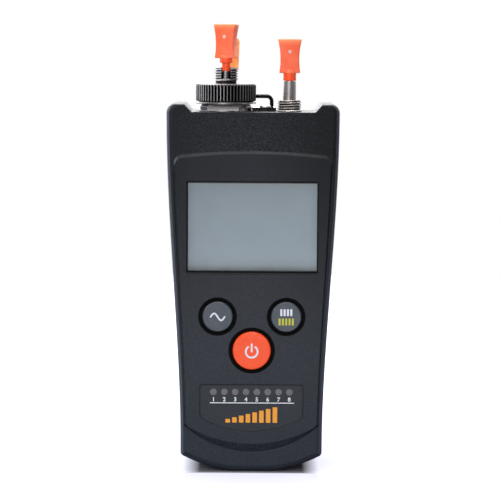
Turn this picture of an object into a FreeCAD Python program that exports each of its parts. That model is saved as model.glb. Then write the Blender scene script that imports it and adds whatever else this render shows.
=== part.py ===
import FreeCAD, Part
import math
import os
from FreeCAD import Vector as V

# Hand-held optical power meter with a light source port and an eight-wire cable tester.
# Millimetres. +Z up, the display faces -Y, the origin is the middle of the flat that it stands on.

os.makedirs("parts", exist_ok=True)

# ---------------------------------------------------------------- driving sizes
clear_fixed = 0.05          # gap round a part that is glued, clamped or trapped
clear_slide = 0.05          # radial gap of a part that slides or turns in a bore
clear_seat = 0.1            # gap under a part that rests on its seat

# case
half_top = 28.5             # half width at the shoulders
half_bottom = 23.6          # half width at the heel
flare_top_z = 119.0         # the flank curves between these two heights
flare_bottom_z = 7.0
shoulder_z = 122.5
shoulder_r = 2.8
deck_z = 119.8              # floor of the notch that the ports stand on
deck_half = 20.4
notch_run = 2.4             # how far each sloped side of the notch leans out
deck_wall = 2.2
case_front_y = -13.2
case_back_y = 14.0
wall = 2.0
foot_arc_r = 50.0           # curve of the bottom edge
foot_flat_half = 7.0        # flat that it stands on
heel_r = 1.6
front_edge_r = 2.0
front_top_r = 0.5           # the front rim is rounded less along the top
back_edge_r = 2.5
inner_corner_r = 0.4
rounding_steps = 3          # flats that stand for each rounded rim
lip_depth = 1.2             # tongue along the seam at y = 0

# raised central panel: crest (front edge) and foot (where its border meets the case)
panel_raise = 0.8
crest_half_top = 25.9
crest_half_bottom = 21.7
crest_top_z = 106.2
crest_top_r = 190.0
crest_low_z = 9.6
crest_low_r = 42.0
crest_corner_r = 2.4
border_side = 0.35          # width of the sloped border at the sides
border_top = 0.9
border_low = 2.5
foot_top_r = 215.0
foot_low_r = 33.0
panel_low_corner_r = 0.6
groove_width = 0.35         # fine groove along the foot of the border
groove_depth = 0.4
groove_top_z = 100.0

# display
window_width = 42.8
window_height = 29.6
window_z = 82.05            # centre
window_chamfer = 0.4
glass_gap = 0.15
glass_recess = 0.7
glass_back_y = -11.1
frame_margin = 2.0          # the display frame is this much taller than the window at each end
frame_side_gap = 0.3        # from the frame to the case's side walls

# keys
side_key_x = 11.35
side_key_z = 52.3
side_key_r = 5.0
centre_key_z = 41.0
centre_key_r = 6.3
key_proud = 0.45
key_gap = 0.2
key_travel = 0.5
key_ear = 0.8               # three ears behind the panel keep each key in
key_ear_thick = 0.5
key_ear_half = 1.5
key_edge = 0.3
well_depth = 1.0
well_width = 1.45

# key switches on the board
switch_size = 6.0
switch_height = 2.1
plunger_half = 1.5
plunger_length = 1.7
plunger_room = 0.2          # room under the plunger at full travel

# indicators
lamp_count = 8
lamp_pitch = 3.6
lamp_half = 0.95            # square lenses behind the label's windows
lamp_z = 27.1
lamp_slot_end = 1.0         # from the last lamp to the end of the slot they shine through
label_half = 17.2
label_top_z = 29.6
label_low_z = 13.7
label_low_r = 34.5
label_corner_r = 3.2
label_top_corner_r = 1.0
label_recess = 0.35
label_thick = 0.25

# circuit board
board_front_y = -7.8
board_thick = 1.6
board_half = 20.2
board_low_z = 14.0
board_top_z = 107.0
board_post_r = 2.4
board_posts_at = ((-17.6, 103.8), (17.6, 17.2))     # x, z
board_screw_r = 1.0
board_screw_head_r = 1.9
board_screw_head = 1.3
board_screw_length = 4.0

# case screws
case_post_r = 2.6
case_screw_r = 1.25
case_screw_head_r = 2.1
case_screw_head = 1.8
case_screw_tip_y = -8.0
case_screw_seat_y = 11.0
lower_screw = (18.7, 7.9)   # x, z
upper_screw = (22.7, 111.5)

# battery bay and door
cell_r = 5.25
cell_length = 43.7
cell_nub_r = 1.9
cell_nub = 0.8
cell_pitch = 10.9
cell_side_gap = 0.45        # from the outer cells to the bay's sides
bay_wall = 1.6
bay_low_z = 16.2
bay_spring = 2.9            # room for the contacts at both ends of a cell
bay_floor_y = 1.0
contact_half = 3.8
contact_thick = 0.4
contact_leaf_half = 1.6
door_gap = 0.25
door_thick = 1.9
hinge_z = 12.8
hinge_pin_r = 0.8
hinge_pin_length = 1.4
hinge_lug = 2.0
door_tab_half = 4.5
door_tab = 1.8
door_rib_count = 5
door_rib_pitch = 1.6
door_rib_half = 6.0
door_rib_top = 4.8          # first rib groove below the door's upper edge

# detector port, left
detector_x = -9.1
base_r = 8.6
base_height = 2.15
base_cone = 0.8             # height and width of the cone at the top of the flange
base_washer_r = 8.9
base_washer = 0.3
base_flat_y = 6.1           # the two wrench flats lie this far from the axis
base_boss_r = 7.0
base_boss = 3.8
base_stem_r = 6.0
base_stem = 6.7
diode_depth = 0.8           # the diode's window lies this far below the base's rim
spanner_angle = 44.0        # of the spanner notch, from the front towards the right
spanner_width = 2.0
spanner_depth = 1.4
nut_thick = 2.4
detector_nut_r = 8.0
diode_r = 4.1
diode_height = 3.4
diode_leg_half = 0.25
diode_leg_circle = 2.0
diode_leg = 12.0

# screw-on adapter
slip_ring = 0.5
adapter_gap = 0.1           # running gap between slip ring and adapter
knurl_r = 10.05
knurl_root_r = 9.6
knurl_count = 56
knurl_height = 6.0
knurl_bevel = 0.45
thread_r = 4.0              # M8 connector thread, both ports
adapter_web = 2.3
barrel_height = 4.3         # threaded length
neck_r = 3.5
neck = 1.05
barrel_bore_r = 2.75
key_slot_width = 3.1
key_slot_depth = 3.7
sleeve_r = 1.9
ferrule_r = 1.3             # bore for a 2.5 mm ferrule
sleeve_step = 1.1           # the sleeve ends this far below the barrel's rim
cap_pin_r = 1.25
cap_pin_bevel = 0.3

# dust caps
grip_height = 11.3
grip_thick = 3.8
grip_top_half = 4.0
grip_waist_half = 3.15
grip_low_half = 3.55
grip_edge = 0.35
collar_r = 2.15
left_collar = 1.5
left_neck_r = 1.4
left_neck = 2.6
left_pin = 4.6
right_collar = 2.55
right_pin = 4.6
left_cap_yaw = -20.0
strap_half = 1.6
strap_offset = 0.75
strap_thick = 1.0
strap_clear = 0.8           # from the threaded barrel
strap_reach = 5.7           # from the cap's axis to the inside of its shoulder
strap_turn = 2.2            # outer radius of its shoulder
strap_foot = 4.5            # its end lies this far over the knurled ring
strap_root = 6.9            # top of its root over the grip's lower end

# light source port, right
source_x = 12.1
bushing_height = 3.7
bushing_collar_r = 4.2
bushing_collar = 0.35
bushing_stem = 7.6
bushing_stem_r = 3.6
tube_r = 2.2
tube_height = 10.05         # above the deck
tube_foot = 6.0             # below the deck
port_nut_r = 5.9
laser_r = 5.0
laser_length = 22.0
laser_gap = 0.2

# wire loop, its plate and screw, on the deck between the ports
plate_low_x = -0.4
plate_high_x = 7.6
plate_relief = 0.3          # from the plate to the detector's washer
plate_port_gap = 1.2        # from the plate to the source port's thread, for a connector's sleeve
plate_front_y = -4.2
plate_back_y = 12.6
plate_thick = 1.3
wire_r = 0.65
wire_sides = 8              # flats that stand for the wire's round section
wire_leg_x = 6.3
wire_ys = (6.6, 11.2)       # the loop's front and back runs
wire_z = 124.6
wire_bend_r = 1.6
wire_end_x = 2.0            # centre of the loop's round end
plate_screw_x = 4.0
plate_screw_y = -1.7
plate_screw_r = 1.0
plate_screw_length = 3.4
plate_screw_head_r = 1.85
plate_screw_head = 1.0
plate_screw_crown_r = 1.1   # flat on top of the head

# eight-wire test jack in the right flank
jack_z = 81.0               # centre
jack_half = 8.0
jack_tall = 13.4
jack_deep = 18.5
jack_inset = 0.6            # mouth below the flank
jack_plug_half = 5.95
jack_plug_tall = 6.9
jack_plug_deep = 13.5
jack_floor = 3.6            # from the board to the plug's underside
jack_latch_half = 3.1
jack_latch_tall = 1.7
jack_gap = 0.15
pin_pitch = 1.02
pin_thick = 0.35
pin_rise = 1.5
pin_reach = 9.0             # length of the sprung part

# ---------------------------------------------------------------- sizes that follow
panel_front_y = case_front_y - panel_raise
panel_back_y = case_front_y + wall          # inner face of the front wall
foot_sag = foot_arc_r - math.sqrt(foot_arc_r ** 2 - foot_flat_half ** 2)
foot_arc_z = foot_arc_r - foot_sag
board_back_y = board_front_y + board_thick
back_wall_y = case_back_y - wall
key_back_y = panel_back_y + clear_seat      # front of the keys' ears
plunger_front_y = key_back_y + key_ear_thick
switch_front_y = board_front_y - switch_height
window_low_z = window_z - window_height / 2
window_high_z = window_z + window_height / 2
bay_top_z = bay_low_z + cell_length + cell_nub + bay_spring
bay_half = cell_pitch + cell_r + cell_side_gap
bay_outer = bay_half + bay_wall
door_half = bay_half + bay_wall / 2         # the door's opening ends halfway over the bay's walls
door_top_z = bay_top_z + bay_wall / 2
cell_y = bay_floor_y + clear_seat + cell_r
hinge_y = case_back_y - door_thick
adapter_low_z = deck_z + base_washer + base_height + slip_ring + adapter_gap
knurl_top_z = adapter_low_z + knurl_height
thread_low_z = knurl_top_z + neck
barrel_top_z = thread_low_z + barrel_height
sleeve_top_z = barrel_top_z - sleeve_step
tube_top_z = deck_z + tube_height
outer = 200.0                               # past the case on every side
over = 1.0                                  # how far a cutter runs past a face


# ---------------------------------------------------------------- shapes
def box(x0, x1, y0, y1, z0, z1):
    return Part.makeBox(x1 - x0, y1 - y0, z1 - z0, V(x0, y0, z0))


def upright(radius, z0, z1, x=0.0, y=0.0):
    return Part.makeCylinder(radius, z1 - z0, V(x, y, z0), V(0, 0, 1))


def across(radius, y0, y1, x, z):
    return Part.makeCylinder(radius, y1 - y0, V(x, y0, z), V(0, 1, 0))


def sideways(radius, x0, x1, y, z):
    return Part.makeCylinder(radius, x1 - x0, V(x0, y, z), V(1, 0, 0))


def tube(outer_r, inner_r, z0, z1, x=0.0, y=0.0):
    return upright(outer_r, z0, z1, x, y).cut(upright(inner_r, z0 - over, z1 + over, x, y))


def turned(profile, x=0.0, y=0.0):
    """A solid of revolution about the upright axis through x, y; profile is (radius, z) points."""
    points = [V(r, 0, z) for r, z in profile]
    face = Part.Face(Part.makePolygon(points + points[:1]))
    solid = face.revolve(V(0, 0, 0), V(0, 0, 1), 360)
    solid.translate(V(x, y, 0))
    return solid


def prism(points, normal):
    face = Part.Face(Part.makePolygon(list(points) + [points[0]]))
    return face.extrude(normal)


def fuse(first, *others):
    return first.multiFuse(list(others)).removeSplitter()


def edges_along_y(solid):
    found = []
    for edge in solid.Edges:
        start, end = edge.Vertexes[0].Point, edge.Vertexes[-1].Point
        if abs(start.x - end.x) < 1e-6 and abs(start.z - end.z) < 1e-6 and edge.Length > 1e-3:
            found.append(edge)
    return found


def half_width(z):
    """Half width of the case at a height; the flank's curve is a smooth step between its ends."""
    t = min(max((flare_top_z - z) / (flare_top_z - flare_bottom_z), 0.0), 1.0)
    return half_top - (half_top - half_bottom) * t * t * (3 - 2 * t)


def flared_slab(top, bottom, y0, y1):
    """A slab whose flanks follow the case's flare, from below the foot to over the shoulders."""
    third = (flare_top_z - flare_bottom_z) / 3
    low_z = -over

    def flank(side):
        curve = Part.BezierCurve()
        curve.setPoles([V(side * top, y0, flare_top_z), V(side * top, y0, flare_top_z - third),
                        V(side * bottom, y0, flare_bottom_z + third), V(side * bottom, y0, flare_bottom_z)])
        return curve.toShape()

    cap_z = shoulder_z + over
    edges = [flank(-1), flank(1),
             Part.makeLine(V(-bottom, y0, low_z), V(bottom, y0, low_z)),
             Part.makeLine(V(-top, y0, cap_z), V(top, y0, cap_z))]
    for side in (-1, 1):
        edges.append(Part.makeLine(V(side * bottom, y0, low_z), V(side * bottom, y0, flare_bottom_z)))
        edges.append(Part.makeLine(V(side * top, y0, flare_top_z), V(side * top, y0, cap_z)))
    face = Part.Face(Part.Wire(Part.__sortEdges__(edges)))
    return face.extrude(V(0, y1 - y0, 0))


def below_arc(radius, low_z, y0, y1):
    """What lies under an upward curving arc whose lowest point is at low_z."""
    block = box(-outer, outer, y0 - over, y1 + over, -outer, low_z + radius / 2)
    return block.cut(across(radius, y0 - 2 * over, y1 + 2 * over, 0, low_z + radius))


def above_arc(radius, high_z, y0, y1):
    """What lies over a crowned arc whose highest point is at high_z."""
    block = box(-outer, outer, y0 - over, y1 + over, high_z - radius / 4, outer)
    return block.cut(across(radius, y0 - 2 * over, y1 + 2 * over, 0, high_z - radius))


def mirrored(points):
    return [V(-p.x, p.y, p.z) for p in points]


def case_outline(y, inset, top_z, corner_r=0.0):
    """The closed outline of the case at y, moved inwards; top_z is its highest line."""
    heel = max(heel_r - inset, inner_corner_r)
    slope_x = deck_half + notch_run * (top_z - deck_z) / (shoulder_z - deck_z)
    top, bottom = half_top - inset, half_bottom - inset
    arc_r = foot_arc_r - inset
    flat_half = math.sqrt(arc_r ** 2 - (foot_arc_z - inset) ** 2)
    heel_x = bottom - heel
    heel_z = foot_arc_z - math.sqrt((arc_r - heel) ** 2 - heel_x ** 2)
    reach = arc_r / (arc_r - heel)
    heel_low = V(heel_x * reach, y, foot_arc_z + (heel_z - foot_arc_z) * reach)
    slope = math.asin(heel_low.x / arc_r) / 2 + math.asin(flat_half / arc_r) / 2
    arc_middle = V(arc_r * math.sin(slope), y, foot_arc_z - arc_r * math.cos(slope))
    turn = (math.pi / 2 + math.asin(heel_low.x / arc_r)) / 2
    heel_middle = V(heel_x + heel * math.sin(turn), y, heel_z - heel * math.cos(turn))
    corner = V(top - corner_r, y, top_z - corner_r)
    diagonal = corner_r * math.sqrt(0.5)
    flank_low, flank_high = V(bottom, y, flare_bottom_z), V(top, y, flare_top_z)
    third = (flare_top_z - flare_bottom_z) / 3
    tall = top_z - corner_r > flare_top_z

    def half(place):
        """The edges of one side; place turns a list of right-hand points into that side's."""
        curve = Part.BezierCurve()
        curve.setPoles(place([flank_high, flank_high - V(0, 0, third),
                              flank_low + V(0, 0, third), flank_low]))
        flank = curve.toShape()
        edges = [Part.Arc(*place([V(flat_half, y, inset), arc_middle, heel_low])).toShape(),
                 Part.Arc(*place([heel_low, heel_middle, V(bottom, y, heel_z)])).toShape(),
                 Part.makeLine(*place([V(bottom, y, heel_z), flank_low])), flank]
        if tall:
            side = V(top, y, corner.z)
            edges += [Part.makeLine(*place([flank_high, side])),
                      Part.Arc(*place([side, corner + V(diagonal, 0, diagonal),
                                       V(corner.x, y, top_z)])).toShape(),
                      Part.makeLine(*place([V(corner.x, y, top_z), V(slope_x, y, top_z)])),
                      Part.makeLine(*place([V(slope_x, y, top_z), V(deck_half, y, deck_z)]))]
        return edges

    edges = half(list) + half(mirrored) + [Part.makeLine(V(-flat_half, y, inset), V(flat_half, y, inset))]
    if tall:
        edges.append(Part.makeLine(V(-deck_half, y, deck_z), V(deck_half, y, deck_z)))
    else:
        edges.append(Part.makeLine(V(-top, y, flare_top_z), V(top, y, flare_top_z)))
    return Part.Wire(Part.__sortEdges__(edges))


def case_outside(face_y, far_y, radius, top_r):
    """The case's solid outline from its face to far_y, with the rim of the face rounded, by top_r on top."""
    top_r = min(top_r, shoulder_z - deck_z - clear_seat)
    inward = math.copysign(1, far_y - face_y)
    wires = []
    for step in range(rounding_steps + 1):
        angle = math.pi / 2 * step / rounding_steps
        inset = radius * (1 - math.sin(angle))
        drop = top_r * (1 - math.sin(angle))
        corner_r = max(shoulder_r - drop, inner_corner_r)
        wires.append(case_outline(face_y + inward * radius * (1 - math.cos(angle)), inset,
                                  shoulder_z - drop, corner_r))
    rim = Part.makeLoft(wires, True, True)
    start_y = face_y + inward * radius
    rest = Part.Face(wires[-1]).extrude(V(0, far_y - start_y, 0))
    return rim.fuse(rest).removeSplitter()


def case_inside(inset, y0, y1, top_inset=None):
    """The case's outline moved inwards, under a flat top."""
    top_inset = inset if top_inset is None else top_inset
    wire = case_outline(y0, inset, flare_top_z)
    slab = Part.Face(wire).extrude(V(0, y1 - y0, 0))
    return slab.cut(box(-outer, outer, y0 - over, y1 + over, deck_z - top_inset, outer))


def panel_wire(top, bottom, high_z, high_r, low_z, low_r, corner_r, y):
    slab = flared_slab(top, bottom, y, y + over)
    slab = slab.cut(above_arc(high_r, high_z, y, y + over))
    slab = slab.cut(below_arc(low_r, low_z, y, y + over))
    corners = edges_along_y(slab)
    upper = [e for e in corners if e.Vertexes[0].Z > shoulder_z / 2]
    lower = [e for e in corners if e.Vertexes[0].Z < shoulder_z / 2]
    slab = slab.makeFillet(corner_r, upper).makeFillet(panel_low_corner_r, lower)
    for face in slab.Faces:
        if all(abs(v.Y - y) < 1e-6 for v in face.Vertexes):
            return face.OuterWire


def panel_foot(grow, y):
    return panel_wire(crest_half_top + border_side + grow, crest_half_bottom + border_side + grow,
                      crest_top_z + border_top + grow, foot_top_r,
                      crest_low_z - border_low - grow, foot_low_r + grow,
                      crest_corner_r + border_side + grow, y)


def raised_panel():
    crest = panel_wire(crest_half_top, crest_half_bottom, crest_top_z, crest_top_r,
                       crest_low_z, crest_low_r, crest_corner_r, panel_front_y)
    return Part.makeLoft([panel_foot(0, case_front_y), crest], True, True)


def panel_groove():
    y0 = case_front_y - over
    ring = Part.Face(panel_foot(groove_width, y0)).extrude(V(0, over + groove_depth, 0))
    ring = ring.cut(Part.Face(panel_foot(0, y0 - over)).extrude(V(0, groove_depth + 3 * over, 0)))
    return ring.cut(box(-outer, outer, -outer, outer, groove_top_z, outer))


def sloped_frame(half_x, z0, z1, y0, widen):
    """A four-sided funnel that narrows by widen as it goes in by widen."""
    def ring(grow, y):
        return Part.makePolygon([V(-half_x - grow, y, z0 - grow), V(half_x + grow, y, z0 - grow),
                                 V(half_x + grow, y, z1 + grow), V(-half_x - grow, y, z1 + grow),
                                 V(-half_x - grow, y, z0 - grow)])
    return Part.makeLoft([ring(widen, y0), ring(0, y0 + widen)], True, True)


keys = {"left": (-side_key_x, side_key_z, side_key_r),
        "right": (side_key_x, side_key_z, side_key_r),
        "centre": (0.0, centre_key_z, centre_key_r)}
lamp_slot_half = lamp_pitch * (lamp_count - 1) / 2 + lamp_half + lamp_slot_end
lamp_xs = [lamp_pitch * (i - (lamp_count - 1) / 2) for i in range(lamp_count)]
case_screws_at = [(side * x, z) for x, z in (lower_screw, upper_screw) for side in (-1, 1)]


def label_shape(inset, y0, y1):
    plate = box(-label_half + inset, label_half - inset, y0, y1, 0, label_top_z - inset)
    plate = plate.cut(below_arc(label_low_r - inset, label_low_z + inset, y0, y1))
    corners = edges_along_y(plate)
    lower = [e for e in corners if e.Vertexes[0].Z < label_top_z - inset - clear_fixed]
    plate = plate.makeFillet(label_corner_r - inset, lower)
    upper = [e for e in edges_along_y(plate) if e.Vertexes[0].Z > label_top_z - inset - clear_fixed]
    return plate.makeFillet(label_top_corner_r, upper)


def jack_mouth_x():
    return half_width(jack_z) - jack_inset


def port_holes(y0, y1):
    """Clearance for the two port stems, the wire loop's legs and the jack."""
    z0, z1 = deck_z - deck_wall - over, deck_z + over
    stem = upright(base_stem_r + clear_fixed, z0, z1, detector_x)
    bushing = upright(bushing_stem_r + clear_fixed, z0, z1, source_x)
    legs = [upright(wire_r + clear_fixed, z0, z1, wire_leg_x, y) for y in wire_ys]
    jack = box(jack_mouth_x() - wall - 2 * over, outer, board_back_y + clear_fixed - jack_gap,
               board_back_y + clear_fixed + jack_tall + jack_gap,
               jack_z - jack_half - jack_gap, jack_z + jack_half + jack_gap)
    holes = stem.multiFuse([bushing, jack] + legs)
    return holes.common(box(-outer, outer, y0, y1, -outer, outer))


def posts(places, radius, y0, y1):
    return [across(radius, y0, y1, x, z) for x, z in places]


# ---------------------------------------------------------------- case
def front_shell():
    body = case_outside(case_front_y, 0, front_edge_r, front_top_r)
    body = body.fuse(raised_panel()).removeSplitter()
    body = body.cut(panel_groove())
    body = body.cut(case_inside(wall, panel_back_y, over, deck_wall))
    lip = case_inside(wall / 2 + clear_seat, -over, lip_depth, deck_wall / 2 + clear_seat)
    lip = lip.cut(case_inside(wall, -2 * over, lip_depth + over, deck_wall))
    inside = case_inside(wall / 2, panel_back_y - over, 0, deck_wall / 2)
    case_posts = posts(case_screws_at, case_post_r, panel_back_y - over / 2, -clear_seat)
    board_posts = posts(board_posts_at, board_post_r, panel_back_y - over / 2, board_front_y)
    for rib in [lip] + [post.common(inside) for post in case_posts + board_posts]:
        body = body.fuse(rib)
    body = body.removeSplitter()
    cutters = [sloped_frame(window_width / 2, window_low_z, window_high_z, panel_front_y, window_chamfer),
               box(-window_width / 2, window_width / 2, panel_front_y - over, panel_back_y + over,
                   window_low_z, window_high_z),
               label_shape(0, panel_front_y - over, panel_front_y + label_recess),
               box(-lamp_slot_half, lamp_slot_half, panel_front_y - over, panel_back_y + over,
                   lamp_z - lamp_half - clear_seat, lamp_z + lamp_half + clear_seat),
               port_holes(-outer, outer)]
    for x, z, cap_r in keys.values():
        hole_r = cap_r + key_gap
        cutters.append(Part.makeCone(cap_r + well_width, hole_r, well_depth,
                                     V(x, panel_front_y, z), V(0, 1, 0)))
        cutters.append(across(hole_r, panel_front_y - over, panel_back_y + over, x, z))
    for x, z in case_screws_at:
        cutters.append(across(case_screw_r + clear_fixed, case_screw_tip_y - over / 2, over, x, z))
    for x, z in board_posts_at:
        tip_y = board_back_y - board_screw_length - over / 2
        cutters.append(across(board_screw_r + clear_fixed, tip_y, board_front_y + over, x, z))
    cutters.append(upright(plate_screw_r + clear_fixed, plate_screw_low_z() - over / 2, deck_z + over,
                           plate_screw_x, plate_screw_y))
    for cutter in cutters:
        body = body.cut(cutter)
    return body


def door_opening():
    """The hole that the door fills in the back wall, with room for its hinge roll and tab."""
    side = door_half
    hole = box(-side, side, back_wall_y, case_back_y + over, hinge_z, door_top_z)
    roll = sideways(door_thick + door_gap, -side, side, hinge_y, hinge_z)
    roll_room = box(-side, side, hinge_y, case_back_y + over, hinge_z - door_thick - door_gap, hinge_z)
    tab = box(-door_tab_half - door_gap, door_tab_half + door_gap, back_wall_y, case_back_y + over,
              door_top_z - over, door_top_z + door_tab)
    return hole.multiFuse([roll, roll_room, tab])


def rear_shell():
    body = case_outside(case_back_y, 0, back_edge_r, back_edge_r)
    body = body.cut(case_inside(wall, -over, back_wall_y, deck_wall))
    body = body.cut(case_inside(wall / 2, -over, lip_depth + clear_seat, deck_wall / 2))
    inside = case_inside(wall / 2, lip_depth + 2 * clear_seat, case_back_y - over / 2, deck_wall / 2)
    bay = box(-bay_outer, bay_outer, bay_floor_y - bay_wall, back_wall_y + over / 2,
              bay_low_z - bay_wall, bay_top_z + bay_wall)
    lug_z = door_thick + door_gap
    lugs = box(-door_half - hinge_lug, door_half + hinge_lug, hinge_y - lug_z, back_wall_y + over / 2,
               hinge_z - lug_z, hinge_z + lug_z)
    case_posts = posts(case_screws_at, case_post_r, 0, back_wall_y + over / 2)
    inner = case_inside(wall + 2 * clear_seat, -over, lip_depth + 2 * clear_seat, deck_wall + 2 * clear_seat)
    allowed = inside.fuse(inner)
    for rib in [bay, lugs] + [post.common(allowed) for post in case_posts]:
        body = body.fuse(rib)
    body = body.removeSplitter()
    cutters = [box(-bay_half, bay_half, bay_floor_y, outer, bay_low_z, bay_top_z),
               door_opening(), port_holes(-outer, outer)]
    for side in (-1, 1):
        x0, x1 = sorted((side * (door_half - over), side * (door_half + hinge_pin_length)))
        cutters.append(sideways(hinge_pin_r + clear_slide, x0, x1, hinge_y, hinge_z))
    for x, z in case_screws_at:
        cutters.append(across(case_screw_r + clear_fixed, -over, case_back_y + over, x, z))
        cutters.append(across(case_screw_head_r + clear_seat, case_screw_seat_y, case_back_y + over, x, z))
    for cutter in cutters:
        body = body.cut(cutter)
    return body


def battery_door():
    half = door_half - door_gap
    plate = box(-half, half, back_wall_y + clear_seat, case_back_y, hinge_z, door_top_z - door_gap)
    roll = sideways(door_thick, -half, half, hinge_y, hinge_z)
    pins = sideways(hinge_pin_r, -half - hinge_pin_length, half + hinge_pin_length, hinge_y, hinge_z)
    tab = box(-door_tab_half, door_tab_half, back_wall_y + clear_seat, case_back_y,
              door_top_z - over, door_top_z + door_tab - door_gap)
    door = fuse(plate, roll, pins, tab)
    for i in range(door_rib_count):
        z = door_top_z - door_rib_top - i * door_rib_pitch
        door = door.cut(sideways(door_rib_pitch / 4, -door_rib_half, door_rib_half, case_back_y, z))
    return door


def case_screws():
    screws = []
    for x, z in case_screws_at:
        shank = across(case_screw_r, case_screw_tip_y, case_screw_seat_y, x, z)
        head = across(case_screw_head_r, case_screw_seat_y, case_screw_seat_y + case_screw_head, x, z)
        screws.append(shank.fuse(head).removeSplitter())
    return Part.makeCompound(screws)


# ---------------------------------------------------------------- power
def battery_cell(index):
    x = (index - 1) * cell_pitch
    middle = (bay_low_z + bay_top_z) / 2
    z0 = middle - (cell_length + cell_nub) / 2
    cell = turned([(0, z0), (cell_r, z0), (cell_r, z0 + cell_length), (cell_nub_r, z0 + cell_length),
                   (cell_nub_r, z0 + cell_length + cell_nub), (0, z0 + cell_length + cell_nub)])
    if index == 1:
        cell.rotate(V(0, 0, middle), V(0, 1, 0), 180)
    cell.translate(V(x, cell_y, 0))
    return cell


def battery_contacts():
    plates = []
    reach = bay_spring / 2 - clear_seat
    for index in range(3):
        x = (index - 1) * cell_pitch
        for wall_z, inward in ((bay_low_z, 1), (bay_top_z, -1)):
            z0, z1 = sorted((wall_z, wall_z + inward * contact_thick))
            plate = box(x - contact_half, x + contact_half,
                        cell_y - contact_half, cell_y + contact_half, z0, z1)
            z0, z1 = sorted((wall_z, wall_z + inward * reach))
            leaf = box(x - contact_leaf_half, x + contact_leaf_half,
                       cell_y - contact_leaf_half, cell_y + contact_leaf_half, z0, z1)
            plates.append(plate.fuse(leaf).removeSplitter())
    return Part.makeCompound(plates)


# ---------------------------------------------------------------- electronics
def circuit_board():
    board = box(-board_half, board_half, board_front_y, board_back_y, board_low_z, board_top_z)
    for x, z in board_posts_at:
        board = board.cut(across(board_screw_r + clear_seat, board_front_y - over, board_back_y + over, x, z))
    return board


def board_screws():
    screws = []
    for x, z in board_posts_at:
        shank = across(board_screw_r, board_back_y - board_screw_length, board_back_y, x, z)
        head = across(board_screw_head_r, board_back_y, board_back_y + board_screw_head, x, z)
        screws.append(shank.fuse(head).removeSplitter())
    return Part.makeCompound(screws)


def lcd_glass():
    half = window_width / 2 - glass_gap
    return box(-half, half, panel_front_y + glass_recess, glass_back_y,
               window_low_z + glass_gap, window_high_z - glass_gap)


def lcd_frame():
    half = half_width(window_low_z - frame_margin) - wall - frame_side_gap
    return box(-half, half, glass_back_y, board_front_y,
               window_low_z - frame_margin, window_high_z + frame_margin)


def key_cap(name):
    x, z, cap_r = keys[name]
    cap = across(cap_r, panel_front_y - key_proud, plunger_front_y, x, z)
    rim = [e for e in cap.Edges if e.Closed and e.Vertexes[0].Y < panel_front_y]
    cap = cap.makeChamfer(key_edge, rim)
    for i in range(3):
        ear = box(-key_ear_half, key_ear_half, key_back_y, plunger_front_y, cap_r - over, cap_r + key_ear)
        ear.rotate(V(0, 0, 0), V(0, 1, 0), 120 * i)
        ear.translate(V(x, 0, z))
        cap = cap.fuse(ear)
    return cap.removeSplitter()


def key_switch(name):
    x, z, _ = keys[name]
    half = switch_size / 2
    well = plunger_half + clear_slide
    body = box(x - half, x + half, switch_front_y, board_front_y, z - half, z + half)
    well_y = plunger_front_y + plunger_length + key_travel + plunger_room
    return body.cut(box(x - well, x + well, switch_front_y - over, min(well_y, board_front_y),
                        z - well, z + well))


def key_plunger(name):
    x, z, _ = keys[name]
    return box(x - plunger_half, x + plunger_half, plunger_front_y, plunger_front_y + plunger_length,
               z - plunger_half, z + plunger_half)


def indicator_lamps():
    front = panel_front_y + label_recess + clear_seat
    return Part.makeCompound([box(x - lamp_half, x + lamp_half, front, board_front_y,
                                  lamp_z - lamp_half, lamp_z + lamp_half) for x in lamp_xs])


def indicator_label():
    back = panel_front_y + label_recess
    return label_shape(clear_seat, back - label_thick, back)


# ---------------------------------------------------------------- detector port
def detector_washer():
    return tube(base_washer_r, base_stem_r + clear_fixed, deck_z, deck_z + base_washer, detector_x)


def detector_base():
    z0 = deck_z + base_washer
    z1 = z0 + base_height
    top = z1 + base_boss
    low = z0 - base_stem
    bore = diode_r + clear_fixed
    body = turned([(bore, low), (base_stem_r, low), (base_stem_r, z0), (base_r, z0), (base_r, z1 - base_cone),
                   (base_r - base_cone, z1), (base_boss_r, z1), (base_boss_r, top), (bore, top)])
    for side in (-1, 1):
        y0, y1 = sorted((side * base_flat_y, side * outer))
        flat = box(-outer, outer, y0, y1, z0 - over, z1 + over)
        body = body.cut(flat.cut(upright(base_boss_r + clear_seat, z1, z1 + 2 * over)))
    notch = box(-spanner_width / 2, spanner_width / 2, -base_r - over, -base_boss_r, z0, z0 + spanner_depth)
    notch.rotate(V(0, 0, 0), V(0, 0, 1), spanner_angle)
    body = body.cut(notch)
    body.translate(V(detector_x, 0, 0))
    return body


def hex_nut(across_corner_r, bore_r, z1, x):
    corners = [math.radians(60 * i) for i in range(6)]
    points = [V(across_corner_r * math.cos(a), across_corner_r * math.sin(a), z1 - nut_thick)
              for a in corners]
    nut = prism(points, V(0, 0, nut_thick)).cut(upright(bore_r, z1 - nut_thick - over, z1 + over))
    nut.translate(V(x, 0, 0))
    return nut


def detector_nut():
    return hex_nut(detector_nut_r, base_stem_r + clear_fixed, deck_z - deck_wall, detector_x)


def photodiode():
    top = deck_z + base_washer + base_height + base_boss - diode_depth
    low = top - diode_height
    legs = []
    for i in range(3):
        angle = math.radians(90 + 120 * i)
        x, y = diode_leg_circle * math.cos(angle), diode_leg_circle * math.sin(angle)
        legs.append(box(x - diode_leg_half, x + diode_leg_half, y - diode_leg_half, y + diode_leg_half,
                        low - diode_leg, low + over))
    part = fuse(upright(diode_r, low, top), *legs)
    part.translate(V(detector_x, 0, 0))
    return part


def adapter_slip_ring():
    z0 = adapter_low_z - adapter_gap - slip_ring
    return tube(knurl_r, base_boss_r + clear_slide, z0, z0 + slip_ring, detector_x)


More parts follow.
